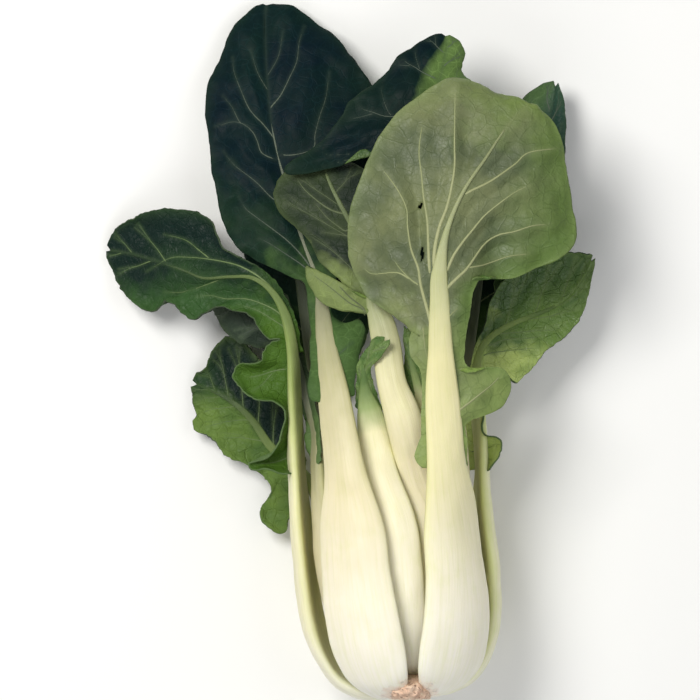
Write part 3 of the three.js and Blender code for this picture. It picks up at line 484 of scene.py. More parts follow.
def addGrid(bm, points, marks):
    # a grid whose points are moved to points[row, column]; marks are values kept on them
    rows, columns = points.shape[:2]
    made = bmesh.ops.create_grid(bm, x_segments=columns - 1, y_segments=rows - 1, size=0.5)["verts"]
    layers = [(bm.verts.layers.float.get(key), value) for key, value in marks.items()]
    for vert in made:
        column = round((vert.co.x + 0.5) * (columns - 1))
        row = round((vert.co.y + 0.5) * (rows - 1))
        vert.co = points[row, column] * mm
        for layer, value in layers:
            vert[layer] = value[row, column]


def newMesh(*markNames):
    bm = bmesh.new()
    for key in markNames:
        bm.verts.layers.float.new(key)
    return bm


def closeSeams(bm):  # joins the first and last column of a grid bent into a tube, and its ends
    bmesh.ops.remove_doubles(bm, verts=bm.verts, dist=1e-6)
    bmesh.ops.recalc_face_normals(bm, faces=bm.faces)


# A stalk: a ribbed body round the leaf's spine, with rounded ends
stalkBuild = {
    "rootCap": 2.6, "tipCap": 1.2, "capRings": 6, "squareness": 0.7, "ribs": 8, "ribHeight": 0.27,
    "ribFullAt": 16, "swell": 0.5, "swellSize": 16, "swellFullAt": 18,
}
plainLeaf = {  # what a leaf has unless its own sizes say otherwise
    "skin": "whiteStalk", "girth": [(0, 1), (1, 1)], "flush": (1, 0, 1, 1), "veins": [], "sideVeins": None,
    "veinSkin": "creamVein", "veinSize": 1.0, "veinLift": 0.0, "proud": (0.1, 0.16),
}


def roundEnd(away, cap):  # 0 at the end itself, 1 from the cap's depth on
    return np.sqrt(1 - (1 - np.clip(away / cap, 0, 1)) ** 2)


def growStalk(name, leaf, node):
    rows, sides = leaf["stalkCells"]
    rootCap, tipCap = stalkBuild["rootCap"], stalkBuild["tipCap"]
    fineU = np.linspace(0, leaf["stalkEnd"], 800)
    way = lengthAlong(spineAt(leaf, fineU)["centre"])
    bow = 1 - np.cos(np.linspace(0, math.pi / 2, stalkBuild["capRings"]))
    stops = np.concatenate([rootCap * bow, np.linspace(rootCap, way[-1] - tipCap, rows)[1:-1],
                            way[-1] - tipCap * bow[::-1]])
    rowU = np.interp(stops, way, fineU)
    spine = spineAt(leaf, rowU)
    width = spine["width"] * np.interp(rowU, *zip(*leaf["girth"]))[:, None]
    shrink = (roundEnd(stops, rootCap) * roundEnd(way[-1] - stops, tipCap))[:, None]
    turn = np.linspace(0, 2 * math.pi, sides + 1)[None, :]
    part = stops[:, None] / way[-1]
    across = np.cos(turn) + 0 * part
    depth = np.sign(np.sin(turn)) * np.abs(np.sin(turn)) ** stalkBuild["squareness"] + 0 * part
    # flush: the side of the midrib that sinks into the blade, from where to where, and how low
    flushSide, fromU, fullU, low = leaf["flush"]
    pressed = 1 + (low - 1) * np.clip((rowU - fromU) / (fullU - fromU), 0, 1)[:, None]
    lying = np.where(depth * flushSide > 0, depth * pressed, depth)
    sway = noiseAt(np.dstack([0 * across, 9 * part + 0 * across, 0 * across + leaf["seed"]]), 1.0, 2.0)
    ribs = np.cos(across * stalkBuild["ribs"] * math.pi + sway * 1.2 + leaf["seed"])
    ridge = ribs * np.clip(1 - np.abs(across) ** 3, 0, 1)
    ridge = ridge * np.clip(width / stalkBuild["ribFullAt"], 0.1, 1) * stalkBuild["ribHeight"]
    centre, side, out = (spine[key][:, None, :] for key in ("centre", "side", "out"))
    swell = noiseAt(centre + 14 * across[..., None] * side, stalkBuild["swellSize"], leaf["seed"])
    swell = swell * stalkBuild["swell"] * np.clip(width / stalkBuild["swellFullAt"], 0, 1)
    # the section is bent round the bulb's own curve
    radius = bulb["bend"] + shrink * (lying * (spine["thick"] / 2 + ridge) + swell * (depth > 0))
    curl = across * shrink * width / 2 / bulb["bend"]
    points = (centre + (radius * np.sin(curl))[..., None] * side
              + (radius * np.cos(curl) - bulb["bend"])[..., None] * out)
    points[..., 2] = np.maximum(points[..., 2], lowest["stalk"])
    points[:, -1] = points[:, 0]
    points[0], points[-1] = spine["centre"][0], spine["centre"][-1]
    bm = newMesh("along", "across", "face")
    addGrid(bm, points, {"along": part + 0 * across, "across": across, "face": depth})
    closeSeams(bm)
    finishMesh(name + "Stalk", bm, [finishes[leaf["skin"]]], [node])


# A blade: a sheet between two margins that rises and falls between its veins
plainBlade = {
    "thick": 0.7, "arch": 1.5, "bulge": 0.9, "bulgeWidth": 4.5, "pucker": 0.45, "puckerSize": 4.2,
    "puckerWidth": 2, "ruffle": 1.6, "ruffleSize": 11, "sway": 1.2, "swaySize": 30,
    "tooth": 0.5, "toothSize": 3.2, "calmStem": 6, "calmTip": 1 / 12, "folds": [], "holes": [],
}
sideVein = {
    "from": 0.02, "to": 0.86, "sweep": 0.2, "stagger": 0.2, "wobble": 0.1, "foot": (1.5, 0.6), "tip": 0.45,
    "twig": (0.7, 0.32), "twigs": ((0.35, 0.16), (0.58, -0.1)),  # where on the side vein, and how it drifts
}


def nearestTo(places):
    tree = kdtree.KDTree(len(places))
    for i, place in enumerate(places):
        tree.insert(place, i)
    tree.balance()
    return tree


def laidOn(points, flat):
    # the sheet's points and directions under or over places given by x and y
    normals = sheetNormals(points).reshape(-1, 3)
    every = points.reshape(-1, 3)
    tree = nearestTo(every * (1, 1, 0))
    found = []
    for x, y in flat:
        near = tree.find_n((x, y, 0), 5)
        weight = np.array([1 / (distance ** 2 + 0.02) for _, _, distance in near])
        heights = np.array([every[i][2] for _, i, _ in near])
        found.append((x, y, float((heights * weight).sum() / weight.sum()), *normals[near[0][1]]))
    found = np.array(found)
    return found[:, :3], found[:, 3:]


def onSheet(values, rowU, u, across):
    # values of the sheet's grid at u along the spine and at a share of the way to a margin
    rows, columns = values.shape[:2]
    atRow = np.clip(np.interp(u, rowU, np.arange(rows)), 0, rows - 1.001)
    atColumn = np.clip((across + 1) / 2 * (columns - 1), 0, columns - 1.001)
    i, j = atRow.astype(int), atColumn.astype(int)
    f, g = (atRow - i)[:, None], (atColumn - j)[:, None]
    return (values[i, j] * (1 - f) * (1 - g) + values[i + 1, j] * f * (1 - g)
            + values[i, j + 1] * (1 - f) * g + values[i + 1, j + 1] * f * g)


def alongPath(path, step=0.7):  # evenly spaced places on a smooth curve through x, y pairs
    path = np.asarray(path, float)
    fine = smooth(path, np.linspace(0, len(path) - 1, 40 * len(path)))
    way = lengthAlong(fine)
    stops = np.linspace(0, way[-1], max(5, int(way[-1] / step)))
    return np.array([np.interp(stops, way, fine[:, k]) for k in range(fine.shape[1])]).T


def sidePaths(leaf):
    # side veins of the kind every leaf has, as places in u and in share of the way to the margin
    if not leaf["sideVeins"]:
        return []
    first, last, pairs = leaf["sideVeins"]
    paths = []
    for k in range(pairs):
        for turn in (-1, 1):
            at = first + (last - first) * (k + 0.3 + sideVein["stagger"] * turn) / pairs
            share = np.linspace(sideVein["from"], sideVein["to"], 26)
            sweep = (last - first) * sideVein["sweep"] * share ** 0.75 * (1 - 0.25 * k / pairs)
            wobble = [noise.noise(Vector((leaf["seed"] + k * 3.3, turn * 5.0, v * 3))) for v in share]
            way = at + sweep + sideVein["wobble"] * np.array(wobble) * share
            wide, narrower = sideVein["foot"]
            paths.append((wide - narrower * k / pairs, sideVein["tip"], way, turn * share))
            for fork, drift in sideVein["twigs"]:
                short = share[share >= fork][:14]
                base = np.interp(short, share, way) + (short - fork) * (last - first) * drift
                paths.append((*sideVein["twig"], base, turn * short))
    size = leaf["veinSize"]
    return [(wide * size, thin * size, u, across) for wide, thin, u, across in paths]


def plainSheet(leaf, blade):
    # the blade before its waves: each row runs from the left margin over the midrib to the right one
    rows, columns = blade["cells"]
    left, right = blade["left"], blade["right"]
    start = min(left[0][0], right[0][0]) - marginLead
    end = min(left[-1][0], right[-1][0])
    fineU = np.linspace(start, end, 2400)
    spine = spineAt(leaf, fineU)
    edges = [marginAt(left, fineU, spine, 1), marginAt(right, fineU, spine, -1)]
    moves = [np.diff(lengthAlong(path)) for path in (spine["centre"], *edges)]
    way = np.concatenate([[0], np.cumsum(np.maximum.reduce(moves) + 0.5 * moves[0])])
    rowU = np.interp(np.linspace(0, way[-1], rows), way, fineU)
    spine = spineAt(leaf, rowU)
    edges = [marginAt(left, rowU, spine, 1), marginAt(right, rowU, spine, -1)]
    span = np.linspace(-1, 1, columns)
    share = np.abs(span)[None, :, None]
    ends = np.where(span[None, :, None] < 0, edges[0][:, None, :], edges[1][:, None, :])
    centre = spine["centre"][:, None, :]
    reach = ends - centre
    sign = np.where(span < 0, -1.0, 1.0)[None, :, None]
    up = unit(np.cross(reach, spine["along"][:, None, :])) * sign
    arch = np.minimum(blade["arch"], np.linalg.norm(reach, axis=-1, keepdims=True) * 0.08)
    return {
        "points": centre + reach * share + up * arch * 4 * share * (1 - share),
        "rowU": rowU, "centre": spine["centre"], "reach": reach, "span": span,
        "part": (rowU - start) / (end - start),
    }


def wavedPoints(sheet, blade, seed, apart):
    # apart: how far each point is from the nearest vein, where the sheet stays as it is
    points, reach = sheet["points"], sheet["reach"]
    far = np.abs(sheet["span"])[None, :] + 0 * apart
    # no waves beside the midrib or at the very tip
    room = np.clip(np.linalg.norm(reach, axis=-1) * far / blade["calmStem"], 0, 1)
    room = room * np.clip((1 - sheet["part"]) / blade["calmTip"], 0, 1)[:, None]
    puckers = (1 - np.exp(-(apart / blade["puckerWidth"]) ** 2)) * noiseAt(points, blade["puckerSize"], seed)
    ruffles = far ** 2.2 * noiseAt(points, blade["ruffleSize"], seed + 4)
    rise = -blade["bulge"] * (1 - np.exp(-(apart / blade["bulgeWidth"]) ** 2))
    rise = rise + blade["pucker"] * puckers + blade["ruffle"] * ruffles
    rise = rise + blade["sway"] * far * noiseAt(points, blade["swaySize"], seed + 8)
    for x, y, wide, long, height in blade["folds"]:  # broad hollows and swellings
        away = ((points[..., 0] - x) / wide) ** 2 + ((points[..., 1] - y) / long) ** 2
        rise = rise + height * np.exp(-away)
    points = points + sheetNormals(points) * (rise * room)[..., None]
    teeth = noiseAt(points, blade["toothSize"], seed + 12, 3) * far ** 14 * room * blade["tooth"]
    points = points + unit(reach) * teeth[..., None]
    points[..., 2] = np.maximum(points[..., 2], lowest["blade"])
    return points


def tearHoles(bm, holes):
    for x, y, wide, long in holes:
        torn = []
        for face in bm.faces:
            middle = face.calc_center_median() / mm
            if ((middle.x - x) / wide) ** 2 + ((middle.y - y) / long) ** 2 < 1:
                torn.append(face)
        bmesh.ops.delete(bm, geom=torn, context="FACES")


def growBlade(name, leaf, node):
    blade = {**plainBlade, **leaf["blade"]}
    sheet = plainSheet(leaf, blade)
    points, rowU = sheet["points"], sheet["rowU"]
    drawn = [(wide, thin, alongPath(path)) for wide, thin, path in leaf["veins"]]
    grown = sidePaths(leaf)
    veinPlaces = [laidOn(points, flat)[0] for _, _, flat in drawn]
    veinPlaces += [onSheet(points, rowU, u, across) for _, _, u, across in grown]
    tree = nearestTo(np.vstack([*veinPlaces, sheet["centre"]]))
    apart = np.array([tree.find(place)[2] for place in points.reshape(-1, 3)]).reshape(points.shape[:2])
    points = wavedPoints(sheet, blade, leaf["seed"], apart)
    bm = newMesh("vein", "edge", "across", "along")
    addGrid(bm, points, {
        "vein": np.exp(-(apart / 1.3) ** 2), "edge": np.abs(sheet["span"])[None, :] + 0 * apart,
        "across": sheet["span"][None, :] + 0 * apart, "along": sheet["part"][:, None] + 0 * apart,
    })
    tearHoles(bm, blade["holes"])
    outer, inner = (finishes[key] for key in leaf["faces"])
    piece = finishMesh(name + "Blade", bm, [outer, inner], [node])
    wall = piece.modifiers.new("thickness", "SOLIDIFY")
    wall.thickness = blade["thick"] * mm
    wall.offset = 0
    wall.material_offset = 1
    laid = [(wide, thin, *laidOn(points, flat)) for wide, thin, flat in drawn]
    outs = sheetNormals(points)
    for wide, thin, u, across in grown:
        laid.append((wide, thin, onSheet(points, rowU, u, across), unit(onSheet(outs, rowU, u, across))))
    if laid:
        growVeins(name, leaf, laid, blade["thick"] / 2)
    print("  blade of", name, len(piece.data.vertices), "points,", len(laid), "veins")


def growVeins(name, leaf, laid, half):
    # tapered oval tubes that stand a little proud of both faces of the sheet
    bm = newMesh("thin")
    turn = np.linspace(0, 2 * math.pi, 9)[None, :]
    proud, lift = leaf["proud"], leaf["veinLift"]
    for wide, thin, places, outs in laid:
        part = np.linspace(0, 1, len(places))
        girth = wide + (thin - wide) * part ** 0.8
        ends = roundEnd(part, 1 / 12) * roundEnd(1 - part, 1 / 8)
        along = unit(np.gradient(places, axis=0))
        aside = unit(np.cross(outs, along))
        outs = unit(np.cross(along, aside))
        width = (girth / 2 * ends)[:, None]
        tall = ((half + proud[0] + proud[1] * girth) * ends)[:, None]
        tube = (places[:, None, :] + outs[:, None, :] * (lift * ends)[:, None, None]
                + aside[:, None, :] * (width * np.cos(turn))[..., None]
                + outs[:, None, :] * (tall * np.sin(turn))[..., None])
        tube[:, -1] = tube[:, 0]
        tube[0], tube[-1] = places[0], places[-1]
        tube[..., 2] = np.maximum(tube[..., 2], lowest["vein"])
        addGrid(bm, tube, {"thin": np.clip(1.15 - girth / 1.6, 0, 1)[:, None] + 0 * turn})
    closeSeams(bm)
    finishMesh(name + "Veins", bm, [finishes[leaf["veinSkin"]]])


def growLeaf(name, node, leaf):
    leaf = {**plainLeaf, **leaf}
    growStalk(name, leaf, node + "_stalk")
    growBlade(name, leaf, node + "_blade")


# The leaves: each spine goes on with rows of x, y, z, width, thickness and the side that its outer
# face looks to; margins are rows of u, x, y, z; veins are a width at each end and places x, y

# broad pale leaf in front, its back to the eye
frontLeaf = {
    "seed": 1, "slot": "pale_blade", "faces": ("oliveBack", "freshFace"), "stalkCells": (210, 48),
    "skin": "frontStalk", "girth": [(9, 1), (10, 1.15), (11, 1.3), (12, 0.85), (12.6, 0.7)],
    "proud": (0.08, 0.24), "veinLift": 0.03,
    "veins": [
        (2.1, 0.6, [(36, 32), (36, 42), (38, 52), (41, 60), (43, 68), (44.5, 78), (44.5, 90),
                    (45, 112)]),
        (1.7, 0.5, [(34, 32), (33.5, 42), (33, 55), (31.5, 65), (30.5, 75), (29.5, 85), (31, 97)]),
        (1.9, 0.5, [(36, 4), (33.5, 15), (30.3, 27), (29, 35), (26, 43), (24.5, 52), (24, 60),
                    (21, 67), (17, 73), (13, 78)]),
        (1.0, 0.4, [(29.5, 27.5), (26, 30), (22, 34), (19, 38)]),
        (1.1, 0.4, [(26, 30), (20, 33), (10, 32.5), (6, 35)]),
        (1.7, 0.5, [(41, 33), (44, 40), (48, 46), (52, 51), (57, 57), (63, 62), (70, 67), (76, 70)]),
        (1.4, 0.5, [(48.5, 66), (52, 68), (60, 72), (70, 79), (76, 84), (88, 86)]),
        (1.7, 0.5, [(40, 24), (42, 27), (46, 31), (50, 35), (57, 45), (63, 49), (70, 50.5), (78, 53),
                    (85, 53.5)]),
        (1.0, 0.4, [(50, 35), (56, 36), (62, 38), (68, 40), (76, 41)]),
        (0.8, 0.35, [(41, 13), (43, 15), (46, 18)]),
        (1.2, 0.4, [(46, -26), (50, -23), (55, -19), (60, -15), (64, -11)]),
        (0.8, 0.3, [(31, 10), (32, 0), (34, -6)]),
    ],
    "stalkEnd": 15,
    "spine": ringRows(outerRing, 50, 1.2, 1.24) + freeRows([
        [41.5, -50, 72.5, 18.5, 6.5, 66], [39.3, -20, 74, 14.5, 6, 82], [38.5, 0, 75, 10.6, 5.5, 88],
        [38.2, 20, 75.5, 7.4, 5, 90], [38, 32, 76, 5.4, 4.2, 90], [41, 50, 76, 3.2, 3.2, 90],
        [48, 67, 75, 2.4, 2.6, 90], [58, 82, 73, 1.9, 2.1, 90], [66, 94, 70, 1.4, 1.6, 90],
        [72, 101, 67.5, 1, 1], [76.3, 105.3, 65.5, 1, 1],
    ]),
    "blade": {
        "cells": (170, 141), "bulge": 1.7, "ruffle": 1.4, "ruffleSize": 14, "sway": 3.2, "tooth": 0.2,
        "folds": [(63, 41, 9, 14, -5), (29, 58, 4, 16, -2.5), (19, 54, 7, 14, 2.5), (49, 88, 4, 14, -2),
                  (78, 62, 12, 12, 2.5)],
        "holes": [(30, 61.5, 1.2, 0.9), (30.8, 41, 0.7, 3.2)],
        "left": [
            [7, 31.2, -50.5, 75], [7.12, 28.5, -48.5, 74.5], [7.2, 27, -45.5, 74], [7.3, 27.8, -42, 74],
            [7.45, 30, -37, 75], [7.6, 30, -33, 75.5], [8.4, 30, -11, 75], [8.55, 28, -5.5, 74],
            [8.7, 26, -1.5, 73], [8.9, 26.2, 4.5, 72], [9.05, 27, 8.2, 72], [9.2, 23, 10.5, 70.5],
            [9.4, 17, 14.5, 68.5], [9.6, 11, 18.8, 66.5], [9.8, 6.5, 22.5, 65.5], [10.1, 2.5, 28.5, 65],
            [10.5, -1.2, 36, 65.5], [11, -2.2, 45, 66], [11.5, -1.3, 56, 66.5], [12, 1.6, 66, 67],
            [12.5, 6, 77, 67], [13, 11.5, 90, 66.5], [13.5, 19, 101, 65.5], [14, 28, 109, 64],
            [14.5, 36.5, 114.8, 62.5], [15, 44.5, 116.5, 61], [15.5, 54.5, 114, 61],
            [16, 63, 111, 62], [16.5, 69.5, 108.5, 63], [17, 74.8, 106, 64.5],
        ],
        "right": [
            [7, 51.6, -50.5, 69.5], [7.3, 50.8, -42, 70], [7.6, 49.6, -32.5, 71], [7.7, 56, -29.3, 69.5],
            [7.82, 62, -27, 68], [7.95, 66.5, -23.5, 67], [8.1, 69, -17.5, 66.5], [8.25, 68.2, -12.3, 67],
            [8.4, 65, -8.3, 68], [8.5, 60, -7.1, 70], [8.6, 54, -7.8, 71.5], [8.72, 50, -5.5, 72.5],
            [9, 49.5, 1, 73.5], [9.5, 49.8, 9, 74], [10, 51.5, 20.5, 74], [10.4, 53.5, 26.5, 73.5],
            [10.7, 56.5, 29.6, 72.5], [11, 62, 28.6, 71], [11.3, 69, 29.8, 69.5], [11.6, 78.5, 34, 67.5],
            [11.9, 88, 38.3, 66], [12.2, 95.5, 44.5, 65], [12.6, 97.4, 52.5, 64.5], [13, 96.2, 61, 64.5],
            [13.5, 94, 72, 65], [14, 92.6, 81, 65], [14.5, 90.5, 90, 65], [15, 87.5, 97.5, 65],
            [15.5, 84.5, 101, 65], [16, 81.5, 103, 65], [16.5, 79.3, 104.2, 65], [17, 77.4, 105, 65],
        ],
    },
}
growLeaf("front", "front", frontLeaf)

# broad white stalk left of the front leaf, with the long dark blade
darkLeaf = {
    "seed": 2, "slot": "dark_blade", "faces": ("deepShadedFace", "freshFace"), "stalkCells": (220, 48),
    "skin": "darkStalk", "flush": (1, 8.5, 10.5, 0.35), "veinSkin": "paleVein", "proud": (0.02, 0.05),
    "veins": [
        (1.2, 0.4, [(-34.3, 103), (-34, 105), (-30, 110), (-26, 118), (-23, 125), (-22, 133),
                    (-20, 140)]),
        (1.3, 0.4, [(-32.5, 90), (-34, 93), (-38, 98), (-41, 101), (-44, 105), (-47, 112), (-50, 120),
                    (-51, 127)]),
        (1.2, 0.4, [(-32, 82), (-38, 85), (-40, 90), (-42, 94), (-46, 97.5), (-51, 98.5), (-58, 96.5)]),
        (0.8, 0.3, [(-46, 97.5), (-48, 99), (-51, 105), (-55, 110)]),
        (1.3, 0.4, [(-25.5, 62), (-33, 65), (-40, 72), (-45, 76), (-50, 80), (-55, 86)]),
        (1.5, 0.5, [(-17, 34), (-18, 37), (-22, 42), (-27, 47), (-32, 51), (-40, 57), (-45, 61),
                    (-48, 66)]),
        (1.3, 0.4, [(-17, 33), (-20, 36), (-28, 41.5), (-35, 46), (-39, 48)]),
        (1.2, 0.4, [(-31, 85), (-27, 84), (-20, 85), (-15.5, 87.5), (-15, 93), (-13, 101),
                    (-10.5, 109), (-9, 120)]),
        (1.0, 0.4, [(-26, 66), (-18, 70), (-8, 80), (0, 92)]),
        (1.0, 0.4, [(-22, 52), (-12, 58), (-2, 68), (6, 80)]),
        (0.8, 0.35, [(-9.5, -4), (-5, -2), (1, 3)]),
        (0.8, 0.3, [(-35.5, 112), (-40, 120), (-43, 130)]),
        (0.7, 0.3, [(-36, 118), (-31, 127), (-29, 138)]),
    ],
    "stalkEnd": 16,
    "spine": ringRows(outerRing, 117, 1.2, 1.14) + freeRows([
        [-2.8, -50, 69, 19, 6.2, 116], [-7, -20, 60, 14.5, 5.6, 112], [-10, 0, 51.5, 9.6, 5, 104],
        [-13.5, 27, 41, 4.6, 3.8, 94], [-20, 46, 35, 3.6, 3.2, 90], [-26, 66, 30, 2.8, 2.8, 90],
        [-31, 83, 26, 2.3, 2.4, 90], [-34.3, 100, 22, 2, 2, 90], [-36, 118, 17, 1.6, 1.6, 90],
        [-36.8, 133, 12, 1.3, 1.3, 90], [-37, 143, 8.5, 1, 1], [-36.2, 149.6, 6.5, 1, 1],
    ]),
    "blade": {
        "cells": (200, 101), "bulge": -1.6, "bulgeWidth": 7, "pucker": 0.2, "ruffle": 1.6, "sway": 2.8,
        "tooth": 0.2, "arch": 2.5,
        "left": [
            [8, -15.5, -20.5, 56], [9, -16.8, 0, 49.5], [9.6, -17.6, 17, 43], [10, -19, 29, 40],
            [10.2, -28, 33.6, 37], [10.5, -40, 39.6, 32], [10.8, -47, 44.6, 29.5], [11.2, -52.5, 52, 27],
            [11.6, -56, 61.5, 25], [12, -58, 71, 23], [12.5, -60, 82, 21], [13, -60.6, 91, 19],
            [13.5, -62, 102, 16], [14, -61.5, 113, 13.5], [14.5, -58.5, 122.5, 11.5], [15, -55, 131, 9.5],
            [15.5, -50.5, 139, 8], [16, -45.3, 144.8, 6.5], [16.5, -41.5, 148.8, 5.5],
            [17, -39.3, 149.7, 5.2], [18, -37.6, 150.1, 5.2],
        ],
        "right": [
            [8, 1.6, -20, 58.5], [8.2, 1.4, -14, 56], [8.4, 2, -8, 53.5], [8.6, 3.6, -1, 51.5],
            [8.8, 5.6, 5, 50], [9, 6, 9.8, 48.5], [9.15, 3.6, 12.8, 47], [9.3, 0, 11.5, 46.5],
            [9.45, -4.6, 12.2, 46], [9.6, -8, 15, 45], [9.8, -8.4, 21, 43], [10, -8.2, 27.5, 41.5],
            [10.4, -2, 36, 38.5], [11, 11, 54, 34], [12, 17.5, 78, 28], [13, 17, 98, 23],
            [14, 10.5, 112, 18.5], [14.6, 4.5, 120.5, 15.5], [15.2, -2, 129, 12.5], [16, -9.5, 136.8, 9],
            [16.5, -15, 141, 7.5], [17, -22, 146, 6.3], [17.5, -28, 149, 5.7], [18, -33.5, 150.1, 5.2],
        ],
    },
}
growLeaf("dark", "dark", darkLeaf)

# white stalk bent at a bright bulge, its blade behind the front one
bentLeaf = {
    "seed": 3, "slot": "pale_blade", "faces": ("youngBack", "freshFace"), "stalkCells": (190, 36),
    "veinSkin": "dimVein", "proud": (0.04, 0.12), "sideVeins": (12.6, 16.4, 3), "veinSize": 0.6,
    "veins": [
        (1.2, 0.4, [(-1.5, 58), (-8, 60), (-14, 64), (-20, 69.5), (-24, 76)]),
        (1.0, 0.4, [(0, 52), (-2, 51), (-5, 53), (-10, 57), (-15, 63)]),
        (0.9, 0.35, [(5, 47), (-2, 49), (-8, 50), (-12, 50.5)]),
        (1.2, 0.4, [(7.5, 15), (5, 18.5), (0, 22.5), (-5, 27.5), (-11, 31)]),
        (0.9, 0.35, [(6.5, 14.5), (5, 17.5), (0, 20), (-5, 24), (-10, 28), (-17, 33)]),
    ],
    "stalkEnd": 17,
    "spine": ringRows(middleRing, 53) + freeRows([
        [28.4, -54, 58.5, 14.6, 5.4, 80], [22.9, -30, 65.2, 15.4, 9, 88], [17.9, -14, 62, 12.6, 5.8, 90],
        [15.6, 2, 58.5, 12.4, 5.2, 92], [13.2, 12.5, 56, 11, 4.4, 94], [10.8, 19, 54.5, 8, 3.6, 94],
        [8, 30, 53.5, 3.4, 2.8, 90], [6, 44, 52, 2.6, 2.4, 90], [-1.5, 57.5, 50, 2.2, 2, 90],
        [-7.5, 69, 47, 1.7, 1.6, 90], [-10.5, 76, 44.5, 1.3, 1.3, 90], [-12, 80.5, 43.2, 1, 1],
    ]),
    "blade": {
        "cells": (130, 61), "bulge": 0.6, "ruffle": 1.4, "arch": 1.2,
        "left": [
            [11.6, 3.6, 15.6, 54.5], [11.72, -3, 16.4, 53.5], [11.84, -10, 18.8, 52.2],
            [11.93, -15.5, 24, 51], [12.02, -18.7, 31, 50], [12.1, -18.6, 36.4, 49.5],
            [12.18, -10, 31.3, 50.5], [12.26, 1, 24.2, 53], [12.34, -1, 27.2, 52], [12.45, -8, 33.6, 50.5],
            [12.6, -13, 38, 49], [12.85, -15.8, 44, 47.5], [13.2, -20, 50.4, 46], [13.7, -27, 56, 44.5],
            [14.2, -30.8, 61, 43.5], [14.7, -32.6, 67, 42.5], [15.2, -31.5, 72, 42], [15.7, -28, 76, 41.8],
            [16.3, -23, 79.4, 41.8], [17, -18, 81.6, 42], [18, -13.6, 82.2, 42.5],
        ],
        "right": [
            [11.6, 18.8, 15.5, 54.5], [12, 17.6, 21, 54.5], [13, 22, 32, 53], [14, 26, 47, 50.5],
            [15, 21, 62, 48], [16, 9, 75, 45], [17, -2, 81, 43], [18, -9.8, 82.4, 42.4],
        ],
    },
}
growLeaf("bent", "bent", bentLeaf)

# dark blade above the head, its stalk behind the front one
crestLeaf = {
    "seed": 4, "slot": "dark_blade", "faces": ("crestShadedFace", "freshFace"), "stalkCells": (140, 28),
    "skin": "darkStalk", "flush": (1, 10, 11, 0.3), "veinSkin": "paleVein", "proud": (0.02, 0.05),
    "sideVeins": (10.8, 16.2, 5), "stalkEnd": 15,
    "spine": ringRows(innerRing, 18) + freeRows([
        [46.5, -50, 52, 15, 4.8, 35], [43, -20, 54, 12, 4.4, 60], [41, 5, 55.5, 9, 4, 80],
        [39, 30, 57, 7, 3.6, 90], [37, 55, 57.5, 5.4, 3.2, 90], [35, 78, 56.5, 4, 2.8, 90],
        [35.5, 98, 53.5, 2.2, 2, 90], [38, 113, 49.5, 1.7, 1.6, 90], [40.5, 125, 45.5, 1.3, 1.3, 90],
        [41.6, 131, 43.5, 1, 1], [41, 134.8, 42.4, 1, 1],
    ]),
    "blade": {
        "cells": (120, 81), "bulge": -1.0, "ruffle": 1.8,
        "left": [
            [10.6, 34, 46, 57], [11.2, 27, 60, 56.5], [11.8, 19, 75, 55.5], [12.4, 6.5, 85.6, 53],
            [12.6, -2, 80, 51.5], [12.8, -12, 77, 50], [12.95, -22, 75.6, 49], [13.06, -28, 76.2, 48.5],
            [13.2, -24.5, 79.6, 48], [13.4, -17.5, 84.8, 47.5], [13.6, -11, 90.5, 47],
            [13.8, -5, 98, 46.5], [14, 0, 106, 46], [14.3, 8.5, 112.6, 45], [14.7, 16, 119.5, 44],
            [15.1, 22, 126.5, 43], [15.6, 29, 132, 42.2], [16.2, 35, 135, 42], [17, 39.4, 135.8, 42],
        ],
        "right": [
            [10.6, 43, 46, 57], [11, 52, 57, 56.5], [12, 58, 80, 54.5], [13, 60, 99, 51],
            [14, 54, 112.5, 47.5], [14.5, 49, 118.5, 45.5], [15, 48.4, 122.5, 44.2],
            [15.5, 49.4, 127, 43.2], [16, 48.3, 131, 42.6], [16.5, 45.4, 133.6, 42.3],
            [17, 42.8, 135.2, 42.2],
        ],
    },
}
growLeaf("crest", "crest", crestLeaf)

# small crumpled leaf of the heart, its tip lying over the bent stalk
heartLeaf = {
    "seed": 5, "slot": "mid_blade", "faces": ("youngFace", "youngFace"), "stalkCells": (110, 28),
    "skin": "heartStalk", "veinSkin": "greenVein", "proud": (0.04, 0.1), "sideVeins": (8.9, 12.4, 3),
    "stalkEnd": 11,
    "spine": ringRows(innerRing, 88) + freeRows([
        [12.6, -54, 63.5, 16.5, 5, 94], [10.4, -40, 60.4, 14, 4.4, 94], [8.6, -28, 58.8, 11.4, 3.6, 94],
        [6.4, -17, 58.6, 5, 2.6, 92], [6.4, -7.5, 60.4, 2, 1.6, 90], [10.3, 0.2, 64, 1, 1],
        [14.6, 3.8, 65.4, 1, 1],
    ]),
    "blade": {
        "cells": (60, 31), "bulge": 0.4, "ruffle": 1.8, "ruffleSize": 5, "sway": 0.8, "arch": 0.8,
        "left": [
            [9.2, 2.2, -24.5, 56.8], [9.4, 2.4, -21, 57], [9.7, 2.4, -17, 57.2], [10.1, 2.6, -12.5, 58.2],
            [10.6, 2.8, -8.5, 59.5], [11, 3.6, -4.6, 60.5], [11.5, 7, 0.6, 62.8], [12, 9.6, 4.6, 64.5],
            [12.5, 12.6, 5.9, 65.6], [13, 14.9, 5.5, 65.8],
        ],
        "right": [
            [9.2, 14, -26, 57], [9.4, 13, -22.5, 57.2], [9.7, 11, -17.5, 57.6], [10.1, 9.6, -13, 58.4],
            [10.6, 8.8, -9.5, 60], [11, 9.2, -7, 62.5], [11.5, 12.2, -4, 65], [12, 15, -0.4, 65.8],
            [12.5, 17, 2.8, 65.8], [13, 16.9, 4.5, 65.7],
        ],
    },
}
growLeaf("heart", "heart", heartLeaf)

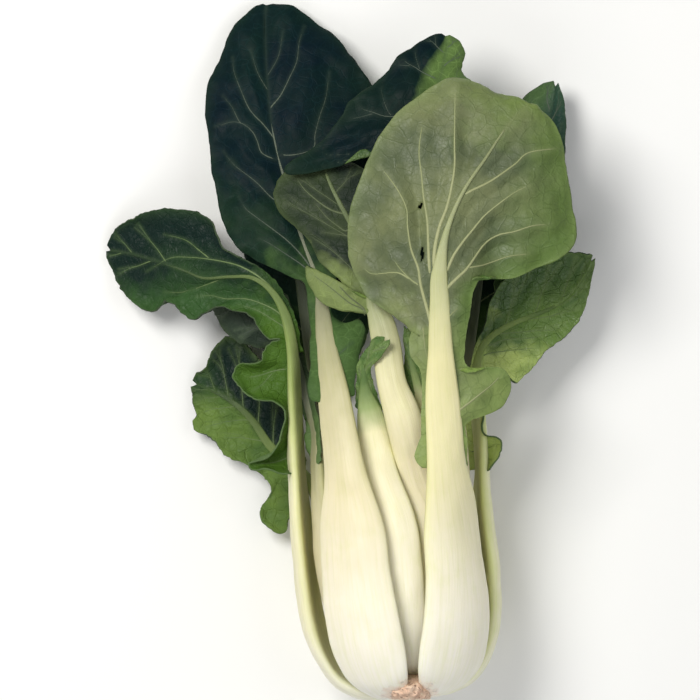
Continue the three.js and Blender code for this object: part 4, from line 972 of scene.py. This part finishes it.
# small leaf between the bent stalk and the front one
smallLeaf = {
    "seed": 6, "slot": "mid_blade", "faces": ("youngFace", "youngFace"), "stalkCells": (110, 28),
    "skin": "heartStalk", "veinSkin": "greenVein", "proud": (0.04, 0.1), "sideVeins": (8.2, 11.4, 3),
    "stalkEnd": 11,
    "spine": ringRows(heartRing, 38) + freeRows([
        [33.8, -45, 51.6, 9, 3.6, 60], [31.4, -27, 54.5, 6, 3, 80], [28.6, -15, 55.4, 4, 2.4, 90],
        [26.2, -5, 55.4, 2.6, 1.8, 90], [25, 3, 54.6, 1.6, 1.4, 90], [24.4, 9, 53.4, 1, 1],
    ]),
    "blade": {
        "cells": (56, 25), "bulge": 0.4, "ruffle": 1.2, "ruffleSize": 5, "sway": 0.6, "arch": 0.6,
        "left": [
            [8, 27.2, -25, 55], [8.5, 24, -17.5, 55.6], [9, 22.6, -13, 55.8], [9.6, 23, -8, 55.6],
            [10.3, 23.6, -1, 55], [11, 22.8, 4.5, 54.4], [12, 23.3, 10.2, 53],
        ],
        "right": [
            [8, 34.6, -27, 54.5], [8.6, 33, -18, 54.8], [9.2, 31, -12, 55.2], [10, 29.4, -4, 55.4],
            [11, 27.6, 4.5, 54.4], [12, 25.6, 10.2, 53],
        ],
    },
}
growLeaf("small", "small", smallLeaf)

# outer leaf on the left, twisted to show its face
leftOuterLeaf = {
    "seed": 7, "slot": "mid_blade", "faces": ("paleBack", "turnedFace"), "stalkCells": (230, 48),
    "skin": "sideStalk", "flush": (-1, 9.3, 10.6, 0.45), "girth": [(10, 1), (12.5, 0.5)],
    "veinSkin": "greenVein", "proud": (0.03, 0.08), "sideVeins": (15.5, 18.6, 2), "veinSize": 0.6,
    "veins": [
        (1.3, 0.4, [(-33, 26), (-35, 28), (-40, 32), (-45, 35), (-50, 37), (-60, 39), (-70, 40),
                    (-78, 39.5), (-88, 34)]),
        (0.9, 0.35, [(-60, 39), (-65, 43), (-71, 47.5), (-80, 50)]),
        (1.1, 0.4, [(-27, 13), (-32, 17), (-38, 20), (-45, 22), (-53, 22), (-60, 23.5), (-66, 23)]),
        (0.9, 0.4, [(-26.5, 8), (-27, 9), (-33, 13), (-40, 17), (-48, 19.5)]),
        (0.9, 0.35, [(-56, 30.5), (-64, 27.5), (-72, 25), (-80, 25)]),
        (1.0, 0.4, [(-27, -8), (-33, -9), (-39, -11), (-45, -12)]),
        (0.9, 0.35, [(-26, -46), (-31, -48), (-36, -49), (-40, -49)]),
        (0.7, 0.3, [(-33, -9.5), (-38, -15), (-42, -18)]),
    ],
    "stalkEnd": 16,
    "spine": ringRows(outerRing, 190, 1.06) + freeRows([
        [-23.3, -50, 33.5, 19, 6.2, 190], [-24, -20, 37, 11.5, 4.6, 198], [-24.6, -2, 39.5, 6.5, 3.8, 215],
        [-27.5, 14, 41, 4.4, 3.2, 245], [-33.5, 25, 41, 3.4, 2.8, 265], [-42, 31, 39.5, 3, 2.4, 270],
        [-52, 31.5, 36, 2.6, 2.2, 270], [-63, 31, 31, 2.2, 1.9, 270], [-72, 34.5, 25.5, 1.8, 1.6, 270],
        [-82, 38, 19, 1.4, 1.3, 270], [-92, 41, 12.5, 1, 1, 270], [-99.5, 42.6, 7.5, 1, 1, 270],
        [-104, 43.2, 5, 1, 1, 270],
    ]),
    "blade": {
        "cells": (240, 81), "bulge": 0.9, "ruffle": 2.0, "tooth": 0.8, "arch": 2.5,
        "left": [
            [9, -21.2, -1, 34.5], [9.5, -22.3, 7, 36.3], [10, -24, 14.5, 37.8], [10.4, -27, 21.8, 39],
            [10.8, -31, 28.6, 39.5], [11.2, -36, 33.4, 39.5], [11.7, -43, 38.4, 38.5], [12.3, -51, 42, 36],
            [12.6, -55, 46, 34], [12.9, -57.6, 51, 32], [13.3, -61, 56.3, 29], [13.8, -68, 59.8, 26],
            [14.5, -78, 61.2, 21], [15.2, -86, 60.4, 17], [16, -93, 57.8, 12.5], [17, -99.5, 54.2, 8.5],
            [18, -103.5, 50, 5.5], [19, -105.5, 45.6, 4],
        ],
        "right": [
            [6.9, -26.5, -54.5, 44], [7.04, -33, -53.2, 44], [7.12, -40, -52, 42], [7.2, -43.6, -49, 41],
            [7.28, -41, -46.3, 41.5], [7.36, -36, -44.5, 42.5], [7.46, -31.5, -39.5, 44],
            [7.6, -28.8, -33, 45], [7.76, -28.3, -27.5, 45], [7.88, -31, -23.8, 44], [8, -37, -22.3, 42.5],
            [8.12, -44, -20, 40.5], [8.25, -49, -15, 39], [8.38, -50.4, -10.5, 38.5],
            [8.5, -48, -5.8, 39.5], [8.62, -42, -4, 41], [8.76, -38, -3, 42], [8.92, -36.6, 0, 42.2],
            [9.06, -33.5, 2.6, 42.8], [9.3, -30, 5, 43], [9.55, -36, 5.2, 41.5], [9.8, -39.2, 9, 40.5],
            [10.1, -42, 13, 40], [10.5, -47.5, 16.7, 38.5], [11, -54, 18.2, 36], [11.4, -59, 17.4, 33.5],
            [11.7, -63, 14.4, 31.5], [12, -66.5, 12.6, 30], [12.4, -71.5, 14.8, 27.5],
            [12.9, -75.5, 18.7, 25.5], [13.4, -79.5, 21, 23], [13.8, -82.6, 18, 21], [14.3, -88, 17, 17.5],
            [15, -94, 20.4, 13.5], [16, -99.5, 26.4, 9], [17, -103, 33.4, 6], [18, -105.2, 38.8, 4.2],
            [19, -105.9, 42.8, 3.8],
        ],
    },
}
growLeaf("leftOuter", "left_outer", leftOuterLeaf)

# inner leaf on the left, the grey back of its blade below the outer one
leftInnerLeaf = {
    "seed": 8, "slot": "pale_blade", "faces": ("paleBack", "freshFace"), "stalkCells": (130, 28),
    "skin": "darkStalk", "veinSkin": "paleVein", "proud": (0.05, 0.12), "sideVeins": (9.4, 14.2, 4),
    "stalkEnd": 13,
    "spine": ringRows(innerRing, 160) + freeRows([
        [-14.2, -50, 44, 13, 4.4, 165], [-15.4, -32, 33.5, 9, 3.8, 150], [-21, -13, 25, 5.4, 3, 108],
        [-26, 2, 24.5, 3.8, 2.6, 92], [-33, 13, 24, 2.8, 2.2, 90], [-42, 21, 23, 2.2, 1.8, 90],
        [-50, 27, 21.5, 1.6, 1.4, 90], [-56, 32, 19.5, 1, 1], [-60, 36, 18, 1, 1],
    ]),
    "blade": {
        "cells": (100, 51), "bulge": 0.7, "ruffle": 1.4, "tooth": 0.9,
        "left": [
            [7, -16.6, -48.5, 37], [7.15, -17.8, -45.6, 36.5], [7.3, -19.4, -42, 36],
            [7.45, -19.8, -38, 35],
            [7.6, -18.4, -34.4, 33], [7.8, -18.6, -31, 30.5], [8, -19.6, -28, 28], [9, -25.4, -12, 24],
            [9.8, -29.6, -1, 24.3], [10.2, -31, 2.8, 24], [10.5, -35, 1.6, 23.5], [10.8, -40, 0.8, 23],
            [11.1, -45, 2.2, 22.5], [11.5, -50, 4, 21.5], [12, -54.5, 7.5, 20], [12.6, -58, 13, 18.5],
            [13.3, -61, 20, 17.5], [14, -62.5, 27, 17], [15, -62.3, 33.6, 17.3],
        ],
        "right": [
            [7, -13, -48, 52.5], [8, -13.6, -30, 41], [9, -17.6, -11, 26.5], [9.8, -21.5, 2, 24.8],
            [10.5, -24, 14, 24.5], [11, -28, 24, 24], [12, -36, 31.5, 22.8], [13, -45, 36, 21],
            [14, -53, 38.4, 19], [15, -58.4, 38, 18],
        ],
    },
}
growLeaf("leftInner", "left_inner", leftInnerLeaf)

# low leaf on the left, crumpled, close to the table
leftLowLeaf = {
    "seed": 9, "slot": "dark_blade", "faces": ("paleBack", "foldedFace"), "stalkCells": (120, 28),
    "skin": "sideStalk", "flush": (-1, 8.0, 9.0, 0.4), "veinSkin": "greenVein", "proud": (0.03, 0.08),
    "sideVeins": (8.6, 13.4, 5), "veinSize": 0.6, "stalkEnd": 13,
    "spine": ringRows(innerRing, 213) + freeRows([
        [-17, -58, 17.6, 8, 3.6, 214], [-26.5, -49, 13, 5, 3.2, 250],
        [-35, -41, 12.5, 3.8, 2.8, 264], [-42, -31, 12.5, 3, 2.4, 270], [-48.5, -24.5, 12, 2.4, 2.1, 270],
        [-55, -20, 10.5, 1.9, 1.8, 270], [-61, -17, 8.5, 1.3, 1.3, 270], [-66.5, -15, 6.8, 1, 1, 270],
    ]),
    "blade": {
        "cells": (150, 61), "bulge": 1.0, "ruffle": 2.2, "ruffleSize": 8, "tooth": 0.9,
        "left": [
            [7.5, -18.6, -47.5, 17.5], [8.2, -24, -38, 17], [9, -28, -27, 16], [10, -33, -13, 14.5],
            [10.6, -40, -3, 13.5], [11.2, -47, 4, 12.5], [11.8, -53.5, 5.8, 11], [12.3, -58, 2.4, 9.5],
            [12.8, -60.8, -2.4, 8.5], [13.2, -63, -7.4, 7.5], [13.6, -66.5, -9.8, 6.5],
            [14, -68.4, -13.2, 6.2],
        ],
        "right": [
            [7.5, -21.5, -62, 11.5], [7.56, -25.5, -72, 11], [7.62, -29, -79.5, 10.5],
            [7.7, -34, -77.8, 10], [7.78, -37.7, -74.5, 9.5], [7.86, -39.4, -69.5, 9.5],
            [7.94, -36.4, -65.5, 10], [8.04, -34.2, -61, 10.5], [8.18, -36.2, -56.5, 10.5],
            [8.4, -41.5, -52, 10], [8.8, -48, -49, 9.5], [9.3, -54, -46, 9], [9.8, -58, -40.5, 8.5],
            [10.3, -62, -37.3, 8], [10.9, -67, -35.3, 7], [11.4, -68.4, -31, 6.5],
            [11.8, -66.4, -27.6, 6.5], [12.2, -67.7, -25, 6], [13, -68.5, -20, 5.5], [14, -69.2, -16, 5.8],
        ],
    },
}
growLeaf("leftLow", "left_low", leftLowLeaf)

# outer leaf on the right, its face up
rightOuterLeaf = {
    "seed": 10, "slot": "mid_blade", "faces": ("paleBack", "ovalFace"), "stalkCells": (190, 48),
    "veinSize": 0.7, "skin": "ovalStalk", "flush": (-1, 9.0, 10.0, 0.45), "veinSkin": "greenVein",
    "proud": (0.03, 0.08), "sideVeins": (9.6, 16.2, 5),
    "veins": [
        (1.0, 0.4, [(58, 1.5), (60, 2), (67, 4.5), (76, 5), (84, 6)]),
        (0.9, 0.35, [(52, -44), (56, -43), (60, -42), (63, -41)]),
    ],
    "stalkEnd": 14,
    "spine": ringRows(outerRing, 346, 1.1) + freeRows([
        [57, -50, 34.5, 16, 5.4, 352], [55.4, -30, 36.5, 9.5, 4.2, 330], [54.6, -14, 37, 5.5, 3.4, 300],
        [56, -1, 36.5, 3.6, 2.8, 280], [61, 6, 35.5, 2.8, 2.4, 272], [70, 11.3, 33.5, 2.3, 2.1, 270],
        [80, 15.3, 31, 1.9, 1.8, 270], [89, 19.3, 28.5, 1.4, 1.4, 270], [96, 25, 26.5, 1, 1, 270],
        [101, 32, 25, 1, 1, 270], [104.3, 38.3, 24, 1, 1, 270],
    ]),
    "blade": {
        "cells": (150, 71), "bulge": 0.9, "ruffle": 1.8, "arch": 2,
        "left": [
            [6.96, 60.4, -52, 43], [7.05, 62, -50, 42.5], [7.18, 64, -46, 42], [7.32, 65, -42, 41.5],
            [7.46, 64, -38.5, 41.5], [7.6, 60.5, -36.7, 42], [7.72, 58.5, -34.6, 43], [8, 58.6, -30, 42],
            [8.4, 59, -23, 40.5], [8.8, 61, -17.5, 39], [9.2, 64.5, -13.6, 37], [9.5, 68, -12.6, 36],
            [9.7, 71.6, -14.2, 35], [10, 77.5, -8.8, 33], [10.5, 82, -3.5, 31.5], [11, 86.5, 1, 30],
            [11.6, 92, 5, 28.5], [12.2, 96, 9, 27], [12.8, 99.5, 13.5, 26], [13.5, 102, 19.5, 25],
            [14.3, 103.2, 26, 24.5], [15, 104.5, 32, 24], [16, 105.7, 37, 23.5], [17, 106, 39.8, 23.5],
        ],
        "right": [
            [6.96, 51, -51.5, 27.5], [7.2, 49.6, -45, 28.5], [7.6, 48.8, -37, 30.5], [7.9, 49.5, -31.5, 32],
            [8.3, 51.4, -25, 33.5], [8.8, 51, -17, 35], [9.3, 51.4, -8.5, 36], [9.8, 52.6, -3, 36.5],
            [10.2, 54.2, 2.5, 36.5], [10.8, 57, 9, 36], [11.3, 60, 18, 35], [12, 64, 27, 33.5],
            [12.7, 72, 35, 31.5], [13.4, 81, 40, 29.5], [14.2, 90, 42.3, 27.5], [15, 97, 42.6, 26],
            [16, 102, 42, 24.8], [17, 104.8, 41, 24.2],
        ],
    },
}
growLeaf("rightOuter", "right_outer", rightOuterLeaf)

# inner leaf on the right, only its dark tip in sight
rightInnerLeaf = {
    "seed": 11, "slot": "dark_blade", "faces": ("paleBack", "tipFace"), "stalkCells": (110, 28),
    "skin": "darkStalk", "flush": (-1, 9, 10, 0.4), "veinSkin": "paleVein", "proud": (0.03, 0.08),
    "sideVeins": (9.6, 14.6, 5), "stalkEnd": 13,
    "spine": ringRows(innerRing, 322) + freeRows([
        [46.5, -50, 18, 13, 4.4, 312], [53, -25, 18, 9, 4, 290], [61.5, -5, 19, 6.4, 3.4, 275],
        [68, 18, 19.5, 4, 2.6, 270], [74, 42, 19.5, 3, 2.2, 270], [79, 64, 19, 2.2, 1.9, 270],
        [83, 84, 18, 1.7, 1.5, 270], [86.5, 101, 16.5, 1, 1, 270], [89, 114, 15, 1, 1, 270],
    ]),
    "blade": {
        "cells": (90, 45), "bulge": 0.8, "ruffle": 1.4,
        "left": [
            [9.3, 68, 2, 19.5], [10, 77, 16, 19], [11, 87, 38, 18], [12, 92.4, 60, 17.5],
            [13, 92.8, 82, 17], [13.6, 93.6, 95, 16.5], [14.2, 93, 106, 15.5], [14.7, 91, 113, 15],
            [15, 90.2, 115.8, 14.5],
        ],
        "right": [
            [9.3, 60, 5, 19.5], [10, 62.4, 22, 20.5], [10.5, 62, 34, 20.5], [11, 62, 45, 20.5],
            [12, 64, 70, 20], [13, 68, 92, 18.5], [14, 74, 107.6, 17], [14.4, 80, 113.2, 16],
            [14.7, 84.5, 115.6, 15.3], [15, 88.2, 116.6, 14.8],
        ],
    },
}
growLeaf("rightInner", "right_inner", rightInnerLeaf)

# leaf under the left half, lying on the table
backLeftLeaf = {
    "seed": 12, "slot": "dark_blade", "faces": ("paleBack", "deepShadedFace"), "stalkCells": (130, 32),
    "skin": "darkStalk", "veinSkin": "dimVein", "proud": (0.04, 0.08), "sideVeins": (8.4, 13.4, 5),
    "stalkEnd": 12,
    "spine": ringRows(outerRing, 242) + freeRows([
        [-3.6, -50, 8.5, 17.5, 5.2, 246], [-10, -22, 8.5, 12.5, 4.4, 258], [-16, 4, 7.5, 9, 4, 268],
        [-20, 28, 6.2, 7, 3.4, 270], [-23, 50, 4.8, 5, 2.8, 270], [-26, 68, 3.4, 3, 2, 270],
        [-29, 82, 2, 1, 1, 270], [-31, 92, 1, 1, 1, 270],
    ]),
    "blade": {
        "cells": (90, 45), "bulge": 0.7, "ruffle": 1.0, "sway": 0.8,
        "left": [
            [8, -2.4, -19, 8.5], [8.5, 3, -5, 7], [9, 8, 8, 6], [10, 14, 32, 4.5], [11, 13, 55, 3],
            [12, 2, 76, 1.5], [13, -12, 89, 0.5], [14, -26, 96, 0.5],
        ],
        "right": [
            [8, -21, -24, 8], [8.6, -32, -8, 5.5], [9.2, -39, 10, 3.5], [10, -44, 30, 2.2],
            [11, -47, 52, 1.2], [12, -47, 72, 0.5], [13, -42, 88, 0.5], [14, -35, 96.5, 0.5],
        ],
    },
}
growLeaf("backLeft", "back_left", backLeftLeaf)

# leaf under the right half, lying on the table
backRightLeaf = {
    "seed": 13, "slot": "dark_blade", "faces": ("paleBack", "deepShadedFace"), "stalkCells": (130, 32),
    "skin": "darkStalk", "veinSkin": "dimVein", "proud": (0.04, 0.08), "sideVeins": (8.4, 13.4, 5),
    "stalkEnd": 12,
    "spine": ringRows(outerRing, 292) + freeRows([
        [37.5, -50, 7, 18, 5.2, 288], [44, -22, 8, 12.5, 4.4, 278], [50, 4, 7.5, 9, 4, 272],
        [54, 28, 6.5, 7, 3.4, 270], [57, 52, 5, 5, 2.8, 270], [58, 72, 3.6, 3, 2, 270],
        [57, 88, 2, 1, 1, 270], [56, 98, 1, 1, 1, 270],
    ]),
    "blade": {
        "cells": (90, 45), "bulge": 0.7, "ruffle": 1.0, "sway": 0.8,
        "left": [
            [8, 53, -22, 8], [8.4, 60, -9, 6.5], [9, 68, 5, 5.5], [10, 80, 25, 4], [11, 86, 48, 2.5],
            [12, 84, 70, 1.2], [13, 74, 90, 0.5], [14, 60, 101, 0.5],
        ],
        "right": [
            [8, 36, -20, 8.5], [9, 34, 6, 6.5], [10, 30, 30, 5], [11, 30, 52, 3.5], [12, 34, 74, 1.8],
            [13, 42, 92, 0.6], [14, 52, 101.5, 0.5],
        ],
    },
}
growLeaf("backRight", "back_right", backRightLeaf)


# The cut root: a lumpy, pinkish brown knob between the feet of the stalks
rootKnob = {
    "centre": (25.5, 45), "reach": (12.5, 23.5), "low": -149.9, "high": -139, "cutAt": -150.3,
    "lumps": 1.7, "lumpSize": 3.4, "grain": 0.25, "grainSize": 1.2, "rings": 70, "sides": 120,
    "skin": ((0.86, 0.64, 0.48), (0.7, 0.46, 0.33)), "dark": (0.2, 0.1, 0.065), "pale": (0.86, 0.74, 0.55),
}


def rootFinish():
    made = Finish("rootSkin", **{"Specular IOR Level": 0.3})
    colour = made.mix(made.between(made.cloud(5, 4), 0.0, 1.0, 0.35, 0.65), *rootKnob["skin"])
    colour = made.mix(made.between(made.cloud(1.6, 5), 0.0, 0.9, 0.56, 0.66), colour, rootKnob["dark"])
    colour = made.mix(made.between(made.cloud(2.6, 3), 0.0, 0.7, 0.56, 0.7), colour, rootKnob["pale"])
    height = made.cloud(1.4, 5) + made.cloud(0.5, 3) * 0.4
    return made.end(colour, made.between(made.cloud(2), 0.6, 0.85, 0.3, 0.7), height, 0.5)


def makeRoot():
    rings, sides = rootKnob["rings"], rootKnob["sides"]
    part = np.linspace(0, 1, rings)[:, None]
    turn = np.linspace(0, 2 * math.pi, sides + 1)[None, :]
    low, high = rootKnob["low"], rootKnob["high"]
    swell = np.sin(part * math.pi) ** 0.5 * (1 - 0.25 * part) + 0 * turn
    x, z = rootKnob["centre"]
    reachX, reachZ = rootKnob["reach"]
    points = np.dstack([x + reachX * swell * np.cos(turn),
                        low + (high - low) * (1 - np.cos(part * math.pi)) / 2 + 0 * turn,
                        z + reachZ * swell * np.sin(turn)])
    lumps = noiseAt(points, rootKnob["lumpSize"], 21, 4) * rootKnob["lumps"]
    lumps = lumps + noiseAt(points, rootKnob["grainSize"], 22, 2) * rootKnob["grain"]
    outward = unit(points - np.array([x, (low + high) / 2, z]))
    points = points + outward * (lumps * np.sin(part * math.pi) ** 0.5)[..., None]
    points[..., 1] = np.maximum(points[..., 1], rootKnob["cutAt"])
    points[:, -1] = points[:, 0]
    points[0], points[-1] = (x, low, z), (x, high, z)
    bm = newMesh()
    addGrid(bm, points, {})
    closeSeams(bm)
    finishMesh("rootKnob", bm, [rootFinish()], ["root_core"])


makeRoot()
print("root made")


def layFloor():  # plain and pale
    made = Finish("paleFloor", Roughness=0.9)
    tone = studio["floorTone"]
    colour = made.mix(made.cloud(400) * 0.3, tone, tuple(0.99 * v for v in tone))
    made.end(colour, 0.9, made.cloud(60), 0.001)
    bm = bmesh.new()
    bmesh.ops.create_grid(bm, x_segments=1, y_segments=1, size=studio["floorSize"] / 2)
    mesh = bpy.data.meshes.new("floor")
    bm.to_mesh(mesh)
    bm.free()
    floor = bpy.data.objects.new("floor", mesh)
    mesh.materials.append(made.material)
    bpy.context.collection.objects.link(floor)


layFloor()
setStudio()
print("studio set")
